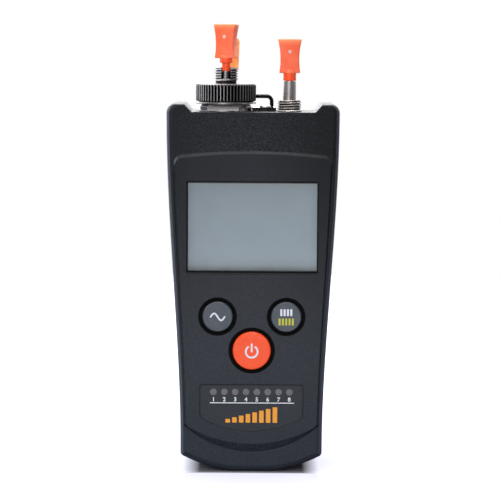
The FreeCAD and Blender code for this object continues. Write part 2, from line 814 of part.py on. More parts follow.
def knurled_ring(z0, z1):
    """A ring of V-shaped teeth with bevelled rims."""
    def outline(inset, z):
        points = []
        for i in range(2 * knurl_count):
            angle = math.pi * i / knurl_count
            radius = (knurl_r if i % 2 else knurl_root_r) - inset
            points.append(V(radius * math.cos(angle), radius * math.sin(angle), z))
        return Part.makePolygon(points + points[:1])

    return Part.makeLoft([outline(knurl_bevel, z0), outline(0, z0 + knurl_bevel),
                          outline(0, z1 - knurl_bevel), outline(knurl_bevel, z1)], True, True)


def fc_adapter():
    body = knurled_ring(adapter_low_z, knurl_top_z)
    barrel = turned([(0, knurl_top_z - over), (neck_r, knurl_top_z - over), (neck_r, thread_low_z),
                     (thread_r, thread_low_z), (thread_r, barrel_top_z), (0, barrel_top_z)])
    body = fuse(body, barrel)
    socket_top = knurl_top_z - adapter_web
    body = body.cut(upright(base_boss_r + clear_slide, adapter_low_z - over, socket_top))
    body = body.cut(upright(sleeve_r + clear_fixed, socket_top - over, barrel_top_z))
    body = body.cut(upright(barrel_bore_r, knurl_top_z, barrel_top_z + over))
    slot = box(-key_slot_width / 2, key_slot_width / 2, -thread_r - over, 0,
               barrel_top_z - key_slot_depth, barrel_top_z + over)
    body = body.cut(slot)
    body.translate(V(detector_x, 0, 0))
    return body


def ferrule_sleeve():
    return tube(sleeve_r, ferrule_r, knurl_top_z - adapter_web, sleeve_top_z, detector_x)


# ---------------------------------------------------------------- dust caps
def cap_grip(z0):
    """The paddle that fingers pull: waisted flanks, flat faces."""
    z1 = z0 + grip_height
    y = -grip_thick / 2
    edges = [Part.makeLine(V(-grip_low_half, y, z0), V(grip_low_half, y, z0)),
             Part.makeLine(V(-grip_top_half, y, z1), V(grip_top_half, y, z1))]
    for side in (-1, 1):
        edges.append(Part.Arc(V(side * grip_low_half, y, z0), V(side * grip_waist_half, y, (z0 + z1) / 2),
                              V(side * grip_top_half, y, z1)).toShape())
    face = Part.Face(Part.Wire(Part.__sortEdges__(edges)))
    paddle = face.extrude(V(0, grip_thick, 0))
    return paddle.makeChamfer(grip_edge, paddle.Edges)


def cap_strap(low_z, high_z):
    """The strap of the left cap: out of the paddle's back, over its shoulder, down behind the barrel."""
    inner_y = thread_r + strap_clear
    start_y = grip_thick / 2 - over / 2
    middle_y, middle_z = strap_reach + strap_thick - strap_turn, high_z - strap_turn
    x0 = strap_offset - strap_half

    def side(inset):
        """Corners of one side of the band: root, shoulder's start, middle and end, foot."""
        r = strap_turn - inset
        diagonal = r * math.sqrt(0.5)
        return (V(x0, start_y, middle_z + r), V(x0, middle_y, middle_z + r),
                V(x0, middle_y + diagonal, middle_z + diagonal), V(x0, middle_y + r, middle_z),
                V(x0, inner_y + strap_thick - inset, low_z))

    edges = []
    outer_side, inner_side = side(0), side(strap_thick)
    for root, first, middle, last, foot in (outer_side, inner_side):
        edges += [Part.makeLine(root, first), Part.Arc(first, middle, last).toShape(),
                  Part.makeLine(last, foot)]
    edges += [Part.makeLine(outer_side[0], inner_side[0]), Part.makeLine(outer_side[-1], inner_side[-1])]
    face = Part.Face(Part.Wire(Part.__sortEdges__(edges)))
    return face.extrude(V(2 * strap_half, 0, 0))


def left_dust_cap():
    neck_low = sleeve_top_z + clear_seat
    collar_low = neck_low + left_neck
    grip_low = collar_low + left_collar
    stem = turned([(0, neck_low - left_pin), (cap_pin_r - cap_pin_bevel, neck_low - left_pin),
                   (cap_pin_r, neck_low - left_pin + cap_pin_bevel), (cap_pin_r, neck_low),
                   (left_neck_r, neck_low), (left_neck_r, collar_low), (collar_r, collar_low),
                   (collar_r, grip_low + over), (0, grip_low + over)])
    strap = cap_strap(knurl_top_z + strap_foot, grip_low + strap_root)
    cap = fuse(cap_grip(grip_low), stem, strap)
    cap.rotate(V(0, 0, 0), V(0, 0, 1), left_cap_yaw)
    cap.translate(V(detector_x, 0, 0))
    return cap


def right_dust_cap():
    collar_low = tube_top_z + clear_seat
    grip_low = collar_low + right_collar
    stem = turned([(0, collar_low - right_pin), (cap_pin_r - cap_pin_bevel, collar_low - right_pin),
                   (cap_pin_r, collar_low - right_pin + cap_pin_bevel), (cap_pin_r, collar_low),
                   (collar_r, collar_low), (collar_r, grip_low + over), (0, grip_low + over)])
    cap = fuse(cap_grip(grip_low), stem)
    cap.translate(V(source_x, 0, 0))
    return cap


# ---------------------------------------------------------------- light source port
def vfl_bushing():
    low = deck_z - bushing_stem
    top = deck_z + bushing_height
    bore = tube_r + clear_fixed
    return turned([(bore, low), (bushing_stem_r, low), (bushing_stem_r, deck_z), (bushing_collar_r, deck_z),
                   (bushing_collar_r, deck_z + bushing_collar), (thread_r, deck_z + bushing_collar),
                   (thread_r, top), (bore, top)], source_x)


def vfl_nut():
    return hex_nut(port_nut_r, bushing_stem_r + clear_fixed, deck_z - deck_wall, source_x)


def vfl_tube():
    return tube(tube_r, ferrule_r, deck_z - tube_foot, tube_top_z, source_x)


def laser_module():
    top = deck_z - bushing_stem - laser_gap
    return upright(laser_r, top - laser_length, top, source_x)


# ---------------------------------------------------------------- wire loop on its plate
def plate_screw_low_z():
    return deck_z + plate_thick - plate_screw_length


def anchor_plate():
    plate = box(plate_low_x, plate_high_x, plate_front_y, plate_back_y, deck_z, deck_z + plate_thick)
    plate = plate.cut(upright(plate_screw_r + clear_seat, deck_z - over, deck_z + 3 * over,
                              plate_screw_x, plate_screw_y))
    plate = plate.cut(upright(base_washer_r + plate_relief, deck_z - over, deck_z + 3 * over, detector_x))
    plate = plate.cut(upright(thread_r + plate_port_gap, deck_z - over, deck_z + 3 * over, source_x))
    for y in wire_ys:
        plate = plate.cut(upright(wire_r + clear_fixed, deck_z - over, deck_z + 3 * over, wire_leg_x, y))
    return plate


def anchor_screw():
    seat = deck_z + plate_thick
    top = seat + plate_screw_head
    screw = turned([(0, plate_screw_low_z()), (plate_screw_r, plate_screw_low_z()), (plate_screw_r, seat),
                    (plate_screw_head_r, seat), (plate_screw_crown_r, top), (0, top)])
    screw.translate(V(plate_screw_x, plate_screw_y, 0))
    return screw


def wire_loop():
    """One bent wire: up from the deck, left, round behind the adapter and back down."""
    front_y, back_y = wire_ys
    low_z, bend_z = deck_z - deck_wall, wire_z - wire_bend_r
    bend_x = wire_leg_x - wire_bend_r

    def section(y, z, upward):
        """The wire's section at a leg's foot, or on a run, where it faces along X."""
        points = []
        for i in range(wire_sides):
            angle = 2 * math.pi * (i + 0.5) / wire_sides
            a, b = wire_r * math.cos(angle), wire_r * math.sin(angle)
            points.append(V(wire_leg_x + a, y + b, z) if upward else V(wire_end_x, y + b, z + a))
        return Part.Face(Part.makePolygon(points + points[:1]))

    pieces = [section(front_y, wire_z, False).revolve(V(wire_end_x, (front_y + back_y) / 2, wire_z),
                                                      V(0, 0, -1), 180)]
    for y in wire_ys:
        pieces.append(section(y, low_z, True).extrude(V(0, 0, bend_z - low_z)))
        pieces.append(section(y, bend_z, True).revolve(V(bend_x, y, bend_z), V(0, -1, 0), 90))
        pieces.append(section(y, wire_z, False).extrude(V(bend_x - wire_end_x, 0, 0)))
    return fuse(*pieces)


# ---------------------------------------------------------------- cable test jack
def cable_test_jack():
    y0 = board_back_y + clear_fixed
    mouth = jack_mouth_x()
    body = box(mouth - jack_deep, mouth, y0, y0 + jack_tall, jack_z - jack_half, jack_z + jack_half)
    plug_y = y0 + jack_floor
    body = body.cut(box(mouth - jack_plug_deep, mouth + over, plug_y, plug_y + jack_plug_tall,
                        jack_z - jack_plug_half, jack_z + jack_plug_half))
    return body.cut(box(mouth - jack_plug_deep, mouth + over, plug_y + jack_plug_tall - over,
                        plug_y + jack_plug_tall + jack_latch_tall,
                        jack_z - jack_latch_half, jack_z + jack_latch_half))


def jack_contacts():
    plug_y = board_back_y + clear_fixed + jack_floor
    back_x = jack_mouth_x() - jack_plug_deep
    front_x = back_x + pin_reach
    contacts = []
    for i in range(lamp_count):
        z = jack_z + pin_pitch * (i - (lamp_count - 1) / 2) - pin_thick / 2
        contacts.append(prism([V(front_x, plug_y, z), V(front_x, plug_y + pin_thick, z),
                               V(back_x, plug_y + pin_rise + pin_thick, z), V(back_x, plug_y + pin_rise, z)],
                              V(0, 0, pin_thick)))
    return Part.makeCompound(contacts)


# ---------------------------------------------------------------- nodes
nodes = {
    "front_shell": front_shell(),
    "rear_shell": rear_shell(),
    "battery_door": battery_door(),
    "case_screws": case_screws(),
    "battery_contacts": battery_contacts(),
    "circuit_board": circuit_board(),
    "board_screws": board_screws(),
    "lcd_glass": lcd_glass(),
    "lcd_frame": lcd_frame(),
    "indicator_lamps": indicator_lamps(),
    "indicator_label": indicator_label(),
    "detector_washer": detector_washer(),
    "detector_base": detector_base(),
    "detector_nut": detector_nut(),
    "photodiode": photodiode(),
    "adapter_slip_ring": adapter_slip_ring(),
    "fc_adapter": fc_adapter(),
    "ferrule_sleeve": ferrule_sleeve(),
    "left_dust_cap": left_dust_cap(),
    "right_dust_cap": right_dust_cap(),
    "vfl_bushing": vfl_bushing(),
    "vfl_nut": vfl_nut(),
    "vfl_tube": vfl_tube(),
    "laser_module": laser_module(),
    "anchor_plate": anchor_plate(),
    "anchor_screw": anchor_screw(),
    "wire_loop": wire_loop(),
    "cable_test_jack": cable_test_jack(),
    "jack_contacts": jack_contacts(),
}
for number in range(3):
    nodes["battery_cell_%d" % (number + 1)] = battery_cell(number)
for key_name in keys:
    nodes[key_name + "_key"] = key_cap(key_name)
    nodes[key_name + "_switch"] = key_switch(key_name)
    nodes[key_name + "_plunger"] = key_plunger(key_name)

for node, shape in nodes.items():
    shape.exportStep("parts/%s.step" % node)
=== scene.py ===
"""Looks of the hand-held optical power meter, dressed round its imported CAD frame."""

import math

import bmesh
import bpy
from mathutils import Matrix, Vector


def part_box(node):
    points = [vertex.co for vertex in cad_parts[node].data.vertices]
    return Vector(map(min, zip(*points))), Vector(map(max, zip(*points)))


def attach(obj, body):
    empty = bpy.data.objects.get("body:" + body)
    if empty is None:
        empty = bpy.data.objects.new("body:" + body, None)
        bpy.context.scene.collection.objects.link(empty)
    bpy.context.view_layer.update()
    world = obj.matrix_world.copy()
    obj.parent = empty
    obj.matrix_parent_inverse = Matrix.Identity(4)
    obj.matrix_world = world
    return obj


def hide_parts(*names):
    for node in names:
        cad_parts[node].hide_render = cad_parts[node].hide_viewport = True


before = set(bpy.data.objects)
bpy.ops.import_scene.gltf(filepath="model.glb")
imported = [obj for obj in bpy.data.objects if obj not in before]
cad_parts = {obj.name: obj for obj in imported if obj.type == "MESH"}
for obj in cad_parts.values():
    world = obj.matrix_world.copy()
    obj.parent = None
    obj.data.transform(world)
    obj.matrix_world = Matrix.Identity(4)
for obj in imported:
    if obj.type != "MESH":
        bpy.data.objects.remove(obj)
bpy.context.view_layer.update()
MM = 0.001


def box_mm(node):
    """Lowest and highest corner of a CAD node, in millimetres."""
    low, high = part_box(node)
    return low / MM, high / MM


def middle_mm(node):
    """Centre of a CAD node's box, in millimetres."""
    low, high = box_mm(node)
    return (low + high) / 2


# ---------------------------------------------------------------- places read from the frame
panel_y = box_mm("front_shell")[0].y
glass_low, glass_high = box_mm("lcd_glass")
label_front = box_mm("indicator_label")[0].y
lamps_low, lamps_high = box_mm("indicator_lamps")
adapter_low, adapter_high = box_mm("fc_adapter")
bushing_low, bushing_high = box_mm("vfl_bushing")
left_low, right_low = box_mm("left_dust_cap")[0], box_mm("right_dust_cap")[0]
wire_low, wire_high = box_mm("wire_loop")
screw_low, screw_high = box_mm("anchor_screw")
plate_low, plate_high = box_mm("anchor_plate")

detector_x = middle_mm("adapter_slip_ring").x
source_x = middle_mm("vfl_bushing").x
deck_z = plate_low.z

# Heights and radii of the key wells, then the grips of the caps. All sizes of shapes are in millimetres.
side_key_z, centre_key_z = 52.3, 41.0
side_well_r, centre_well_r = 6.5, 7.8
left_grip_low, right_grip_low = left_low.z + 8.7, right_low.z + 7.15
grip_height, grip_thick = 11.3, 3.8


# ---------------------------------------------------------------- node trees
def srgb(red, green, blue):
    """A colour written as it looks, 0 to 255, as the linear colour that a shader takes."""
    def linear(value):
        value /= 255
        return value / 12.92 if value <= 0.04045 else ((value + 0.055) / 1.055) ** 2.4
    return (linear(red), linear(green), linear(blue), 1.0)


class Nodes:
    """Short words for building a node tree: numbers are set on sockets, outputs are linked to them."""

    def __init__(self, tree, coordinates="Object"):
        self.tree = tree
        self.place = self.add("ShaderNodeTexCoord").outputs[coordinates]

    def add(self, kind, **settings):
        node = self.tree.nodes.new(kind)
        for key, value in settings.items():
            setattr(node, key, value)
        return node

    def link(self, source, target):
        self.tree.links.new(source, target)

    def math(self, operation, *values):
        node = self.add("ShaderNodeMath", operation=operation)
        for i, value in enumerate(values):
            if isinstance(value, (int, float)):
                node.inputs[i].default_value = value
            else:
                self.link(value, node.inputs[i])
        return node.outputs[0]

    def times(self, first, *others):
        for other in others:
            first = self.math("MULTIPLY", first, other)
        return first

    def most(self, first, second):
        return self.math("MAXIMUM", first, second)

    def below(self, value, limit):
        """1 where the value is less than the limit, else 0."""
        return self.math("LESS_THAN", value, limit)

    def above(self, value, limit):
        return self.math("GREATER_THAN", value, limit)

    def absolute(self, value):
        return self.math("ABSOLUTE", value)

    def square_sum(self, first, second):
        return self.math("ADD", self.times(first, first), self.times(second, second))

    def near(self, x, z, centre_x, centre_z, radius):
        """1 inside a circle in millimetres, else 0."""
        across = self.math("SUBTRACT", x, centre_x * MM)
        up = self.math("SUBTRACT", z, centre_z * MM)
        return self.below(self.square_sum(across, up), (radius * MM) ** 2)

    def parts(self, vector):
        """The three axes of a vector, by letter."""
        node = self.add("ShaderNodeSeparateXYZ")
        self.link(vector, node.inputs[0])
        return node.outputs

    def axis(self, letter):
        return self.parts(self.place)[letter]

    def spread(self, value, low, high, first=0.0, last=1.0):
        """first up to low, last from high on, and a straight slope between them."""
        node = self.add("ShaderNodeMapRange")
        for socket, number in (("From Min", low), ("From Max", high), ("To Min", first), ("To Max", last)):
            node.inputs[socket].default_value = number
        self.link(value, node.inputs["Value"])
        return node.outputs[0]


class Finish(Nodes):
    """A node material that starts from a Principled shader."""

    def __init__(self, name, **sockets):
        self.material = bpy.data.materials.new(name)
        self.material.use_nodes = True
        super().__init__(self.material.node_tree)
        self.shader = self.tree.nodes["Principled BSDF"]
        for socket, value in sockets.items():
            self.shader.inputs[socket.replace("_", " ")].default_value = value
        self.normal = None

    def stretched(self, scale):
        node = self.add("ShaderNodeMapping")
        node.inputs["Scale"].default_value = scale
        self.link(self.place, node.inputs["Vector"])
        return node.outputs["Vector"]

    def noise(self, scale, detail=2.0, rough=0.5, vector=None):
        node = self.add("ShaderNodeTexNoise")
        node.inputs["Scale"].default_value = scale
        node.inputs["Detail"].default_value = detail
        node.inputs["Roughness"].default_value = rough
        self.link(vector or self.place, node.inputs["Vector"])
        return node.outputs["Fac"]

    def ramp(self, value, *stops):
        """stops are (position, colour or grey level)."""
        node = self.add("ShaderNodeValToRGB")
        elements = node.color_ramp.elements
        for i, (position, colour) in enumerate(stops):
            element = elements[i] if i < 2 else elements.new(position)
            element.position = position
            element.color = colour if isinstance(colour, tuple) else (colour, colour, colour, 1.0)
        self.link(value, node.inputs["Fac"])
        return node.outputs["Color"]

    def mix(self, factor, first, second, blend="MIX"):
        node = self.add("ShaderNodeMix", data_type="RGBA", blend_type=blend)
        for socket, value in (("Factor", factor), ("A", first), ("B", second)):
            target = [s for s in node.inputs if s.name == socket and s.enabled][0]
            if isinstance(value, (float, tuple)):
                target.default_value = value
            else:
                self.link(value, target)
        return [s for s in node.outputs if s.enabled][0]

    def tint(self, colour, by):
        return self.mix(1.0, colour, by, "MULTIPLY")

    def rounded(self, radius):
        """Edges catch light as if they had this radius, in millimetres."""
        node = self.add("ShaderNodeBevel", samples=6)
        node.inputs["Radius"].default_value = radius * MM
        self.normal = node.outputs["Normal"]
        return self.normal

    def edges(self, radius):
        """Above 0 on edges, 0 on open faces."""
        wide = self.rounded(radius)
        straight = self.add("ShaderNodeNewGeometry").outputs["Normal"]
        node = self.add("ShaderNodeVectorMath", operation="DOT_PRODUCT")
        self.link(wide, node.inputs[0])
        self.link(straight, node.inputs[1])
        return self.math("SUBTRACT", 1.0, node.outputs["Value"])

    def bump(self, height, strength, distance):
        """Relief this many millimetres deep."""
        node = self.add("ShaderNodeBump")
        node.inputs["Strength"].default_value = strength
        node.inputs["Distance"].default_value = distance * MM
        self.link(height, node.inputs["Height"])
        if self.normal is not None:
            self.link(self.normal, node.inputs["Normal"])
        self.normal = node.outputs["Normal"]

    def done(self, colour, roughness):
        self.link(colour, self.shader.inputs["Base Color"])
        self.link(roughness, self.shader.inputs["Roughness"])
        self.link(self.normal, self.shader.inputs["Normal"])
        return self.material


# ---------------------------------------------------------------- plain finishes
def moulded(name, dark, light, grain, bump, rough, radius=0.4, edge=0.25, **sockets):
    """Moulded plastic: spark-eroded grain, faint mottling, edges lightened by rubbed wear and a painted
    highlight.
    """
    f = Finish(name, **sockets)
    worn = f.edges(radius)
    fine = f.noise(grain, 3.0, 0.6)
    broad = f.noise(60, 3.0, 0.55)
    speckle = f.ramp(fine, (0.3, dark), (0.72, light))
    mottled = f.mix(f.ramp(broad, (0.35, 0.0), (0.7, 0.35)), speckle, light)
    # Lighter edges: partly rubbed wear, partly a painted highlight; edge sets how strong.
    rubbed_and_highlit = tuple(min(1, 2.2 * c) for c in light[:3]) + (1.0,)
    edged = f.mix(f.ramp(worn, (0.02, 0.0), (0.3, edge)), mottled, rubbed_and_highlit)
    f.bump(fine, bump, 0.06)
    return f.done(edged, f.ramp(f.noise(grain / 3, 2.0), (0.3, rough[0]), (0.7, rough[1])))


def metal(name, dark, light, rough, brush=(60, 60, 3000), brush_bump=0.05):
    """Plated or turned metal: fine tool marks along one direction, faint stains."""
    f = Finish(name, Metallic=1.0)
    f.rounded(0.1)
    marks = f.noise(1.0, 4.0, 0.65, f.stretched(brush))
    stain = f.ramp(f.noise(350, 3.0, 0.6), (0.35, 0.0), (0.75, 0.6))
    colour = f.mix(stain, f.ramp(marks, (0.3, dark), (0.7, light)), dark)
    f.bump(marks, brush_bump, 0.04)
    return f.done(colour, f.ramp(marks, (0.25, rough[0]), (0.75, rough[1])))


def turned_finish(name, x, painted_bands, reach, shade):
    """Plated metal with painted shade and light: roots painted black as shade, crests painted bright as
    highlights.

    Painted bands are (radius, colour) about the upright axis at x, out to reach; shade (place, level) is
    painted side light.
    """
    f = Finish(name, Metallic=0.6, Specular_Tint=srgb(130, 128, 130))
    f.rounded(0.05)
    across, along = f.math("SUBTRACT", f.axis("X"), x * MM), f.axis("Y")
    radius = f.times(f.math("SQRT", f.square_sum(across, along)), 1 / (reach * MM))
    # Painted shade and highlight by radius: dark roots, bright crests.
    tone = f.ramp(radius, *[(r / reach, colour) for r, colour in painted_bands])
    marks = f.noise(1.0, 3.0, 0.6, f.stretched((900, 900, 5200)))
    colour = f.mix(f.ramp(marks, (0.3, 0.0), (0.75, 0.35)), tone, srgb(120, 116, 118), "MULTIPLY")
    # Painted light from one side: darker across towards the other.
    colour = f.tint(colour, f.ramp(f.math("MULTIPLY_ADD", across, 0.5 / (reach * MM), 0.5), *shade))
    f.bump(marks, 0.04, 0.03)
    return f.done(colour, f.ramp(f.noise(2100, 2.0), (0.3, 0.3), (0.7, 0.42)))


def ink(name, dark, light):
    """Screen-printed ink: slightly uneven cover."""
    f = Finish(name, Specular_IOR_Level=0.35)
    tone = f.ramp(f.noise(3800, 3.0, 0.6), (0.3, dark), (0.65, light))
    f.bump(f.noise(5200), 0.08, 0.02)
    return f.done(tone, f.ramp(f.noise(1500), (0.3, 0.44), (0.7, 0.58)))


# ---------------------------------------------------------------- case
# Depths count back from the panel's foremost face, ups and downs from the window's edges.
shade_width = 60.0
slope_depth, slope_low_z, slope_tilt = 0.9, 5.5, -0.12
skin_lean, skin_limit = 20.0, -159.0
rim_depth, curl_low, curl_high = 0.85, 5.2, 6.8
well_depth, well_floor_y = 0.06, -9.0
sill_up, sill_down, sill_aside = 0.4, 0.75, 0.75
ledge_down, ledge_aside = 1.1, 0.3
lip_end_x, lip_end_z, lip_end_r, lip_depth = 21.9, 15.6, 0.6, 1.6
black_grain_and_shade = srgb(8, 9, 12)


def key_wells():
    """Middle, height and radius of the well round each key."""
    return [(middle_mm("left_key").x, side_key_z, side_well_r),
            (middle_mm("right_key").x, side_key_z, side_well_r),
            (middle_mm("centre_key").x, centre_key_z, centre_well_r)]


def under_window(f, x, z, up, down, aside):
    """1 in a strip along the window's lower edge."""
    strip = f.times(f.below(z, (glass_low.z + up) * MM), f.above(z, (glass_low.z - down) * MM))
    return f.times(strip, f.below(f.absolute(x), (glass_high.x + aside) * MM))


def case_skin(f, y, z, fine, under):
    """Even satin on the front, coarse grain behind a plane that leans over it, coarsest on the slope."""
    behind = f.above(f.math("MULTIPLY_ADD", y, skin_lean, z), skin_limit * MM)
    satin = f.ramp(fine, (0.3, srgb(40, 42, 46)), (0.7, srgb(51, 53, 58)))
    coarse = f.ramp(f.noise(2700, 3.0, 0.6), (0.4, black_grain_and_shade), (0.62, srgb(60, 62, 68)))
    coarsest = f.ramp(f.noise(4600, 1.0), (0.42, black_grain_and_shade), (0.58, srgb(80, 83, 89)))
    return f.mix(under, f.mix(f.most(under, behind), satin, coarse), coarsest)


def case_shading(f, z, width, skin):
    """Painted light and shade: a foot tinted blue as floor light, a darker top, and above a lit middle with
    dark flanks.
    """
    height = f.times(z, 1 / (deck_z * MM))
    tone = f.tint(skin, f.ramp(height, (0.0, srgb(228, 236, 255)), (0.35, srgb(240, 245, 255)),
                               (0.6, srgb(220, 220, 226)), (0.85, srgb(196, 198, 206)),
                               (1.0, srgb(180, 184, 196))))
    painted_crown_light = f.ramp(width, (0.06, 0.45), (0.2, 0.84), (0.5, 1.14), (0.7, 0.82), (0.88, 0.36), (0.97, 0.34))
    return f.mix(f.ramp(height, (0.25, 0.0), (0.9, 1.0)), tone, f.tint(tone, painted_crown_light))


def case_rims(f, y, z, width, sideways, tone):
    """Painted highlight on the rounded rim and the panel's shoulders; painted shade darkens the hollow
    between them.
    """
    turn = f.ramp(f.absolute(sideways), (0.2, 0.0), (0.55, 0.35), (0.9, 0.8), (0.97, 0.8), (0.985, 0.0))
    rim = f.times(f.above(y, (panel_y + rim_depth) * MM), f.ramp(width, (0.49, 1.0), (0.51, 0.75)))
    # The panel's upper curl, which faces up, gets a painted highlight too.
    painted_curl_light = f.spread(z, (glass_high.z + curl_low) * MM, (glass_high.z + curl_high) * MM)
    painted_curl_light = f.times(painted_curl_light, f.ramp(width, (0.49, 0.9), (0.51, 0.25)))
    pale = f.most(rim, painted_curl_light)
    painted_groove_shade = f.times(turn, f.math("SUBTRACT", 1.0, pale))
    # Painted shade in the hollow, then a painted highlight on the rims and curl.
    tone = f.mix(f.times(painted_groove_shade, 0.7), tone, black_grain_and_shade)
    return f.mix(f.times(turn, pale), tone, srgb(98, 103, 116))


def case_finish():
    """Spark-eroded black plastic, with painted shade on the downward slope, the window's lower edge, lip ends
    and key wells.
    """
    f = Finish("case_plastic", Specular_IOR_Level=0.2)
    worn = f.edges(0.4)
    x, y, z = f.axis("X"), f.axis("Y"), f.axis("Z")
    width = f.math("MULTIPLY_ADD", x, 1 / (shade_width * MM), 0.5)     # 0 to 1 from left to right
    facing = f.parts(f.add("ShaderNodeNewGeometry").outputs["Normal"])
    fine = f.noise(1700, 3.0, 0.6)

    under = f.times(f.below(facing["Z"], slope_tilt), f.below(y, (panel_y + slope_depth) * MM),
                    f.above(z, slope_low_z * MM))
    tone = case_shading(f, z, width, case_skin(f, y, z, fine, under))
    tone = f.mix(f.ramp(worn, (0.02, 0.0), (0.3, 0.16)), tone, srgb(92, 96, 104))
    tone = case_rims(f, y, z, width, facing["X"], tone)
    # Painted shade on the slope that faces down below the panel.
    tone = f.mix(f.times(under, 0.5), tone, black_grain_and_shade)
    # Painted shade in a strip along the window's lower edge.
    painted_ledge_shade = under_window(f, x, z, 0.0, ledge_down, ledge_aside)
    tone = f.mix(f.times(painted_ledge_shade, 0.7), tone, black_grain_and_shade)

    # Painted shade: dark spots at both ends of the panel's lower lip.
    painted_lip_end_shade = f.times(f.near(f.absolute(x), z, lip_end_x, lip_end_z, lip_end_r),
                      f.below(y, (panel_y + lip_depth) * MM))
    tone = f.mix(f.times(painted_lip_end_shade, 0.85), tone, black_grain_and_shade)

    # Near black: in the key wells partly their own black, partly painted shade of their depth; on the
    # window's sill painted shade.
    wells_and_painted_shade = under_window(f, x, z, sill_up, sill_down, sill_aside)
    for centre_x, centre_z, radius in key_wells():
        wells_and_painted_shade = f.most(wells_and_painted_shade, f.near(x, z, centre_x, centre_z, radius))
    wells_and_painted_shade = f.times(wells_and_painted_shade, f.above(y, (panel_y + well_depth) * MM), f.below(y, well_floor_y * MM))
    colour = f.mix(wells_and_painted_shade, tone, srgb(2, 2, 3))

    f.bump(f.times(fine, f.below(facing["Z"], 0.5)), 0.4, 0.06)
    return f.done(colour, f.most(f.ramp(f.noise(640, 2.0), (0.3, 0.42), (0.7, 0.54)), wells_and_painted_shade))


# ---------------------------------------------------------------- display, label, caps, inner parts
def display_finish():
    """Grey reflective liquid crystal behind a clear cover, with painted shade along its edges, darkest at the
    bottom.
    """
    f = Finish("display", Specular_IOR_Level=0.35, Coat_Weight=0.15, Coat_Roughness=0.12)
    up = f.spread(f.axis("Z"), glass_low.z * MM, glass_high.z * MM)
    across = f.spread(f.axis("X"), glass_low.x * MM, glass_high.x * MM)
    # Darker towards the lower edge: painted shade under the bezel.
    tone = f.ramp(up, (0.0, srgb(88, 93, 92)), (0.015, srgb(108, 115, 116)), (0.07, srgb(144, 154, 157)),
                  (0.16, srgb(148, 159, 167)), (0.6, srgb(145, 156, 163)), (0.94, srgb(141, 151, 157)),
                  (1.0, srgb(153, 160, 157)))
    # Painted shade towards the left and right edges.
    side = f.ramp(across, (0.0, 0.5), (0.012, 0.76), (0.06, 0.87), (0.25, 0.95), (0.6, 0.97),
                  (0.94, 0.97), (0.975, 0.88), (1.0, 0.82))
    # Painted shade: near black along the lower edge, darker along the top edge.
    painted_border_shade = f.ramp(up, (0.0, 0.01), (0.008, 0.02), (0.011, 0.64), (0.03, 0.72), (0.06, 0.82),
                    (0.11, 0.92), (0.2, 0.98), (0.99, 0.98), (0.994, 0.26))
    film = f.tint(f.tint(tone, side), painted_border_shade)
    cloud = f.times(f.ramp(f.noise(90, 2.0), (0.3, 0.0), (0.7, 0.35)), painted_border_shade)
    f.bump(f.noise(3000, 1.0), 0.02, 0.03)
    cloudy = f.mix(cloud, film, srgb(153, 164, 171))
    return f.done(cloudy, f.ramp(f.noise(900, 2.0), (0.3, 0.28), (0.7, 0.36)))


def label_finish():
    """Printed polyester film: fine matt texture, faint mottling and painted shade along its edge."""
    f = Finish("label_film", Specular_IOR_Level=0.22)
    fine = f.noise(5200, 2.0)
    # Painted shade: a dark line round the film's edge.
    rim = f.ramp(f.edges(0.42), (0.005, 0.0), (0.04, 1.0))
    f.normal = None     # a film's edge isn't rounded
    tone = f.ramp(fine, (0.3, srgb(41, 43, 48)), (0.7, srgb(49, 52, 58)))
    mottled = f.mix(f.ramp(f.noise(150, 3.0), (0.4, 0.0), (0.75, 0.4)), tone, srgb(46, 49, 54))
    f.bump(fine, 0.1, 0.03)
    return f.done(f.mix(rim, mottled, srgb(10, 10, 12)), f.ramp(f.noise(700), (0.3, 0.42), (0.7, 0.55)))


def cap_finish(name, deep, body, pale, glow, lit=0.08, stem=None):
    """Soft translucent plastic, with a painted glow and painted highlights on its edges.

    glow is how pale its edges are, as a painted highlight; lit is a painted glow for light coming through it;
    stem its colour below the grip.
    """
    f = Finish(name, Subsurface_Weight=0.12, Subsurface_Radius=(1.0, 0.35, 0.15), Subsurface_Scale=1.2 * MM,
               Specular_IOR_Level=0.5, Emission_Strength=lit)
    fine = f.noise(1700, 3.0, 0.6)
    tone = f.ramp(f.noise(220, 2.0), (0.3, deep), (0.65, body))
    edged = f.mix(f.ramp(f.edges(0.5), (0.01, 0.0), (0.25, glow)), tone, pale)
    if stem:
        on_left = f.below(f.axis("X"), 0.0)
        grip_low = f.math("MULTIPLY_ADD", on_left, (left_grip_low - right_grip_low) * MM, right_grip_low * MM)
        up = f.times(f.math("SUBTRACT", f.axis("Z"), grip_low), 1 / (grip_height * MM))
        # Painted highlight: paler at the grip's lower and upper ends.
        ends = f.ramp(up, (0.0, 0.25), (0.12, 0.0), (0.82, 0.0), (0.97, 0.8))
        edged = f.mix(f.below(up, 0.0), f.mix(ends, edged, srgb(255, 152, 98)), stem)
    f.bump(fine, 0.12, 0.05)
    # Painted glow: the surface colour is also emitted.
    f.link(edged, f.shader.inputs["Emission Color"])
    return f.done(edged, f.ramp(fine, (0.3, 0.34), (0.7, 0.48)))


def lamp_finish():
    """Clouded lens of an unlit lamp."""
    f = Finish("lamp", Specular_IOR_Level=0.5, Coat_Weight=0.3, Coat_Roughness=0.1)
    cloud = f.ramp(f.noise(1300, 2.0), (0.3, srgb(76, 74, 76)), (0.7, srgb(96, 92, 95)))
    f.bump(f.noise(2600), 0.05, 0.03)
    return f.done(cloud, f.ramp(f.noise(800), (0.3, 0.3), (0.7, 0.45)))


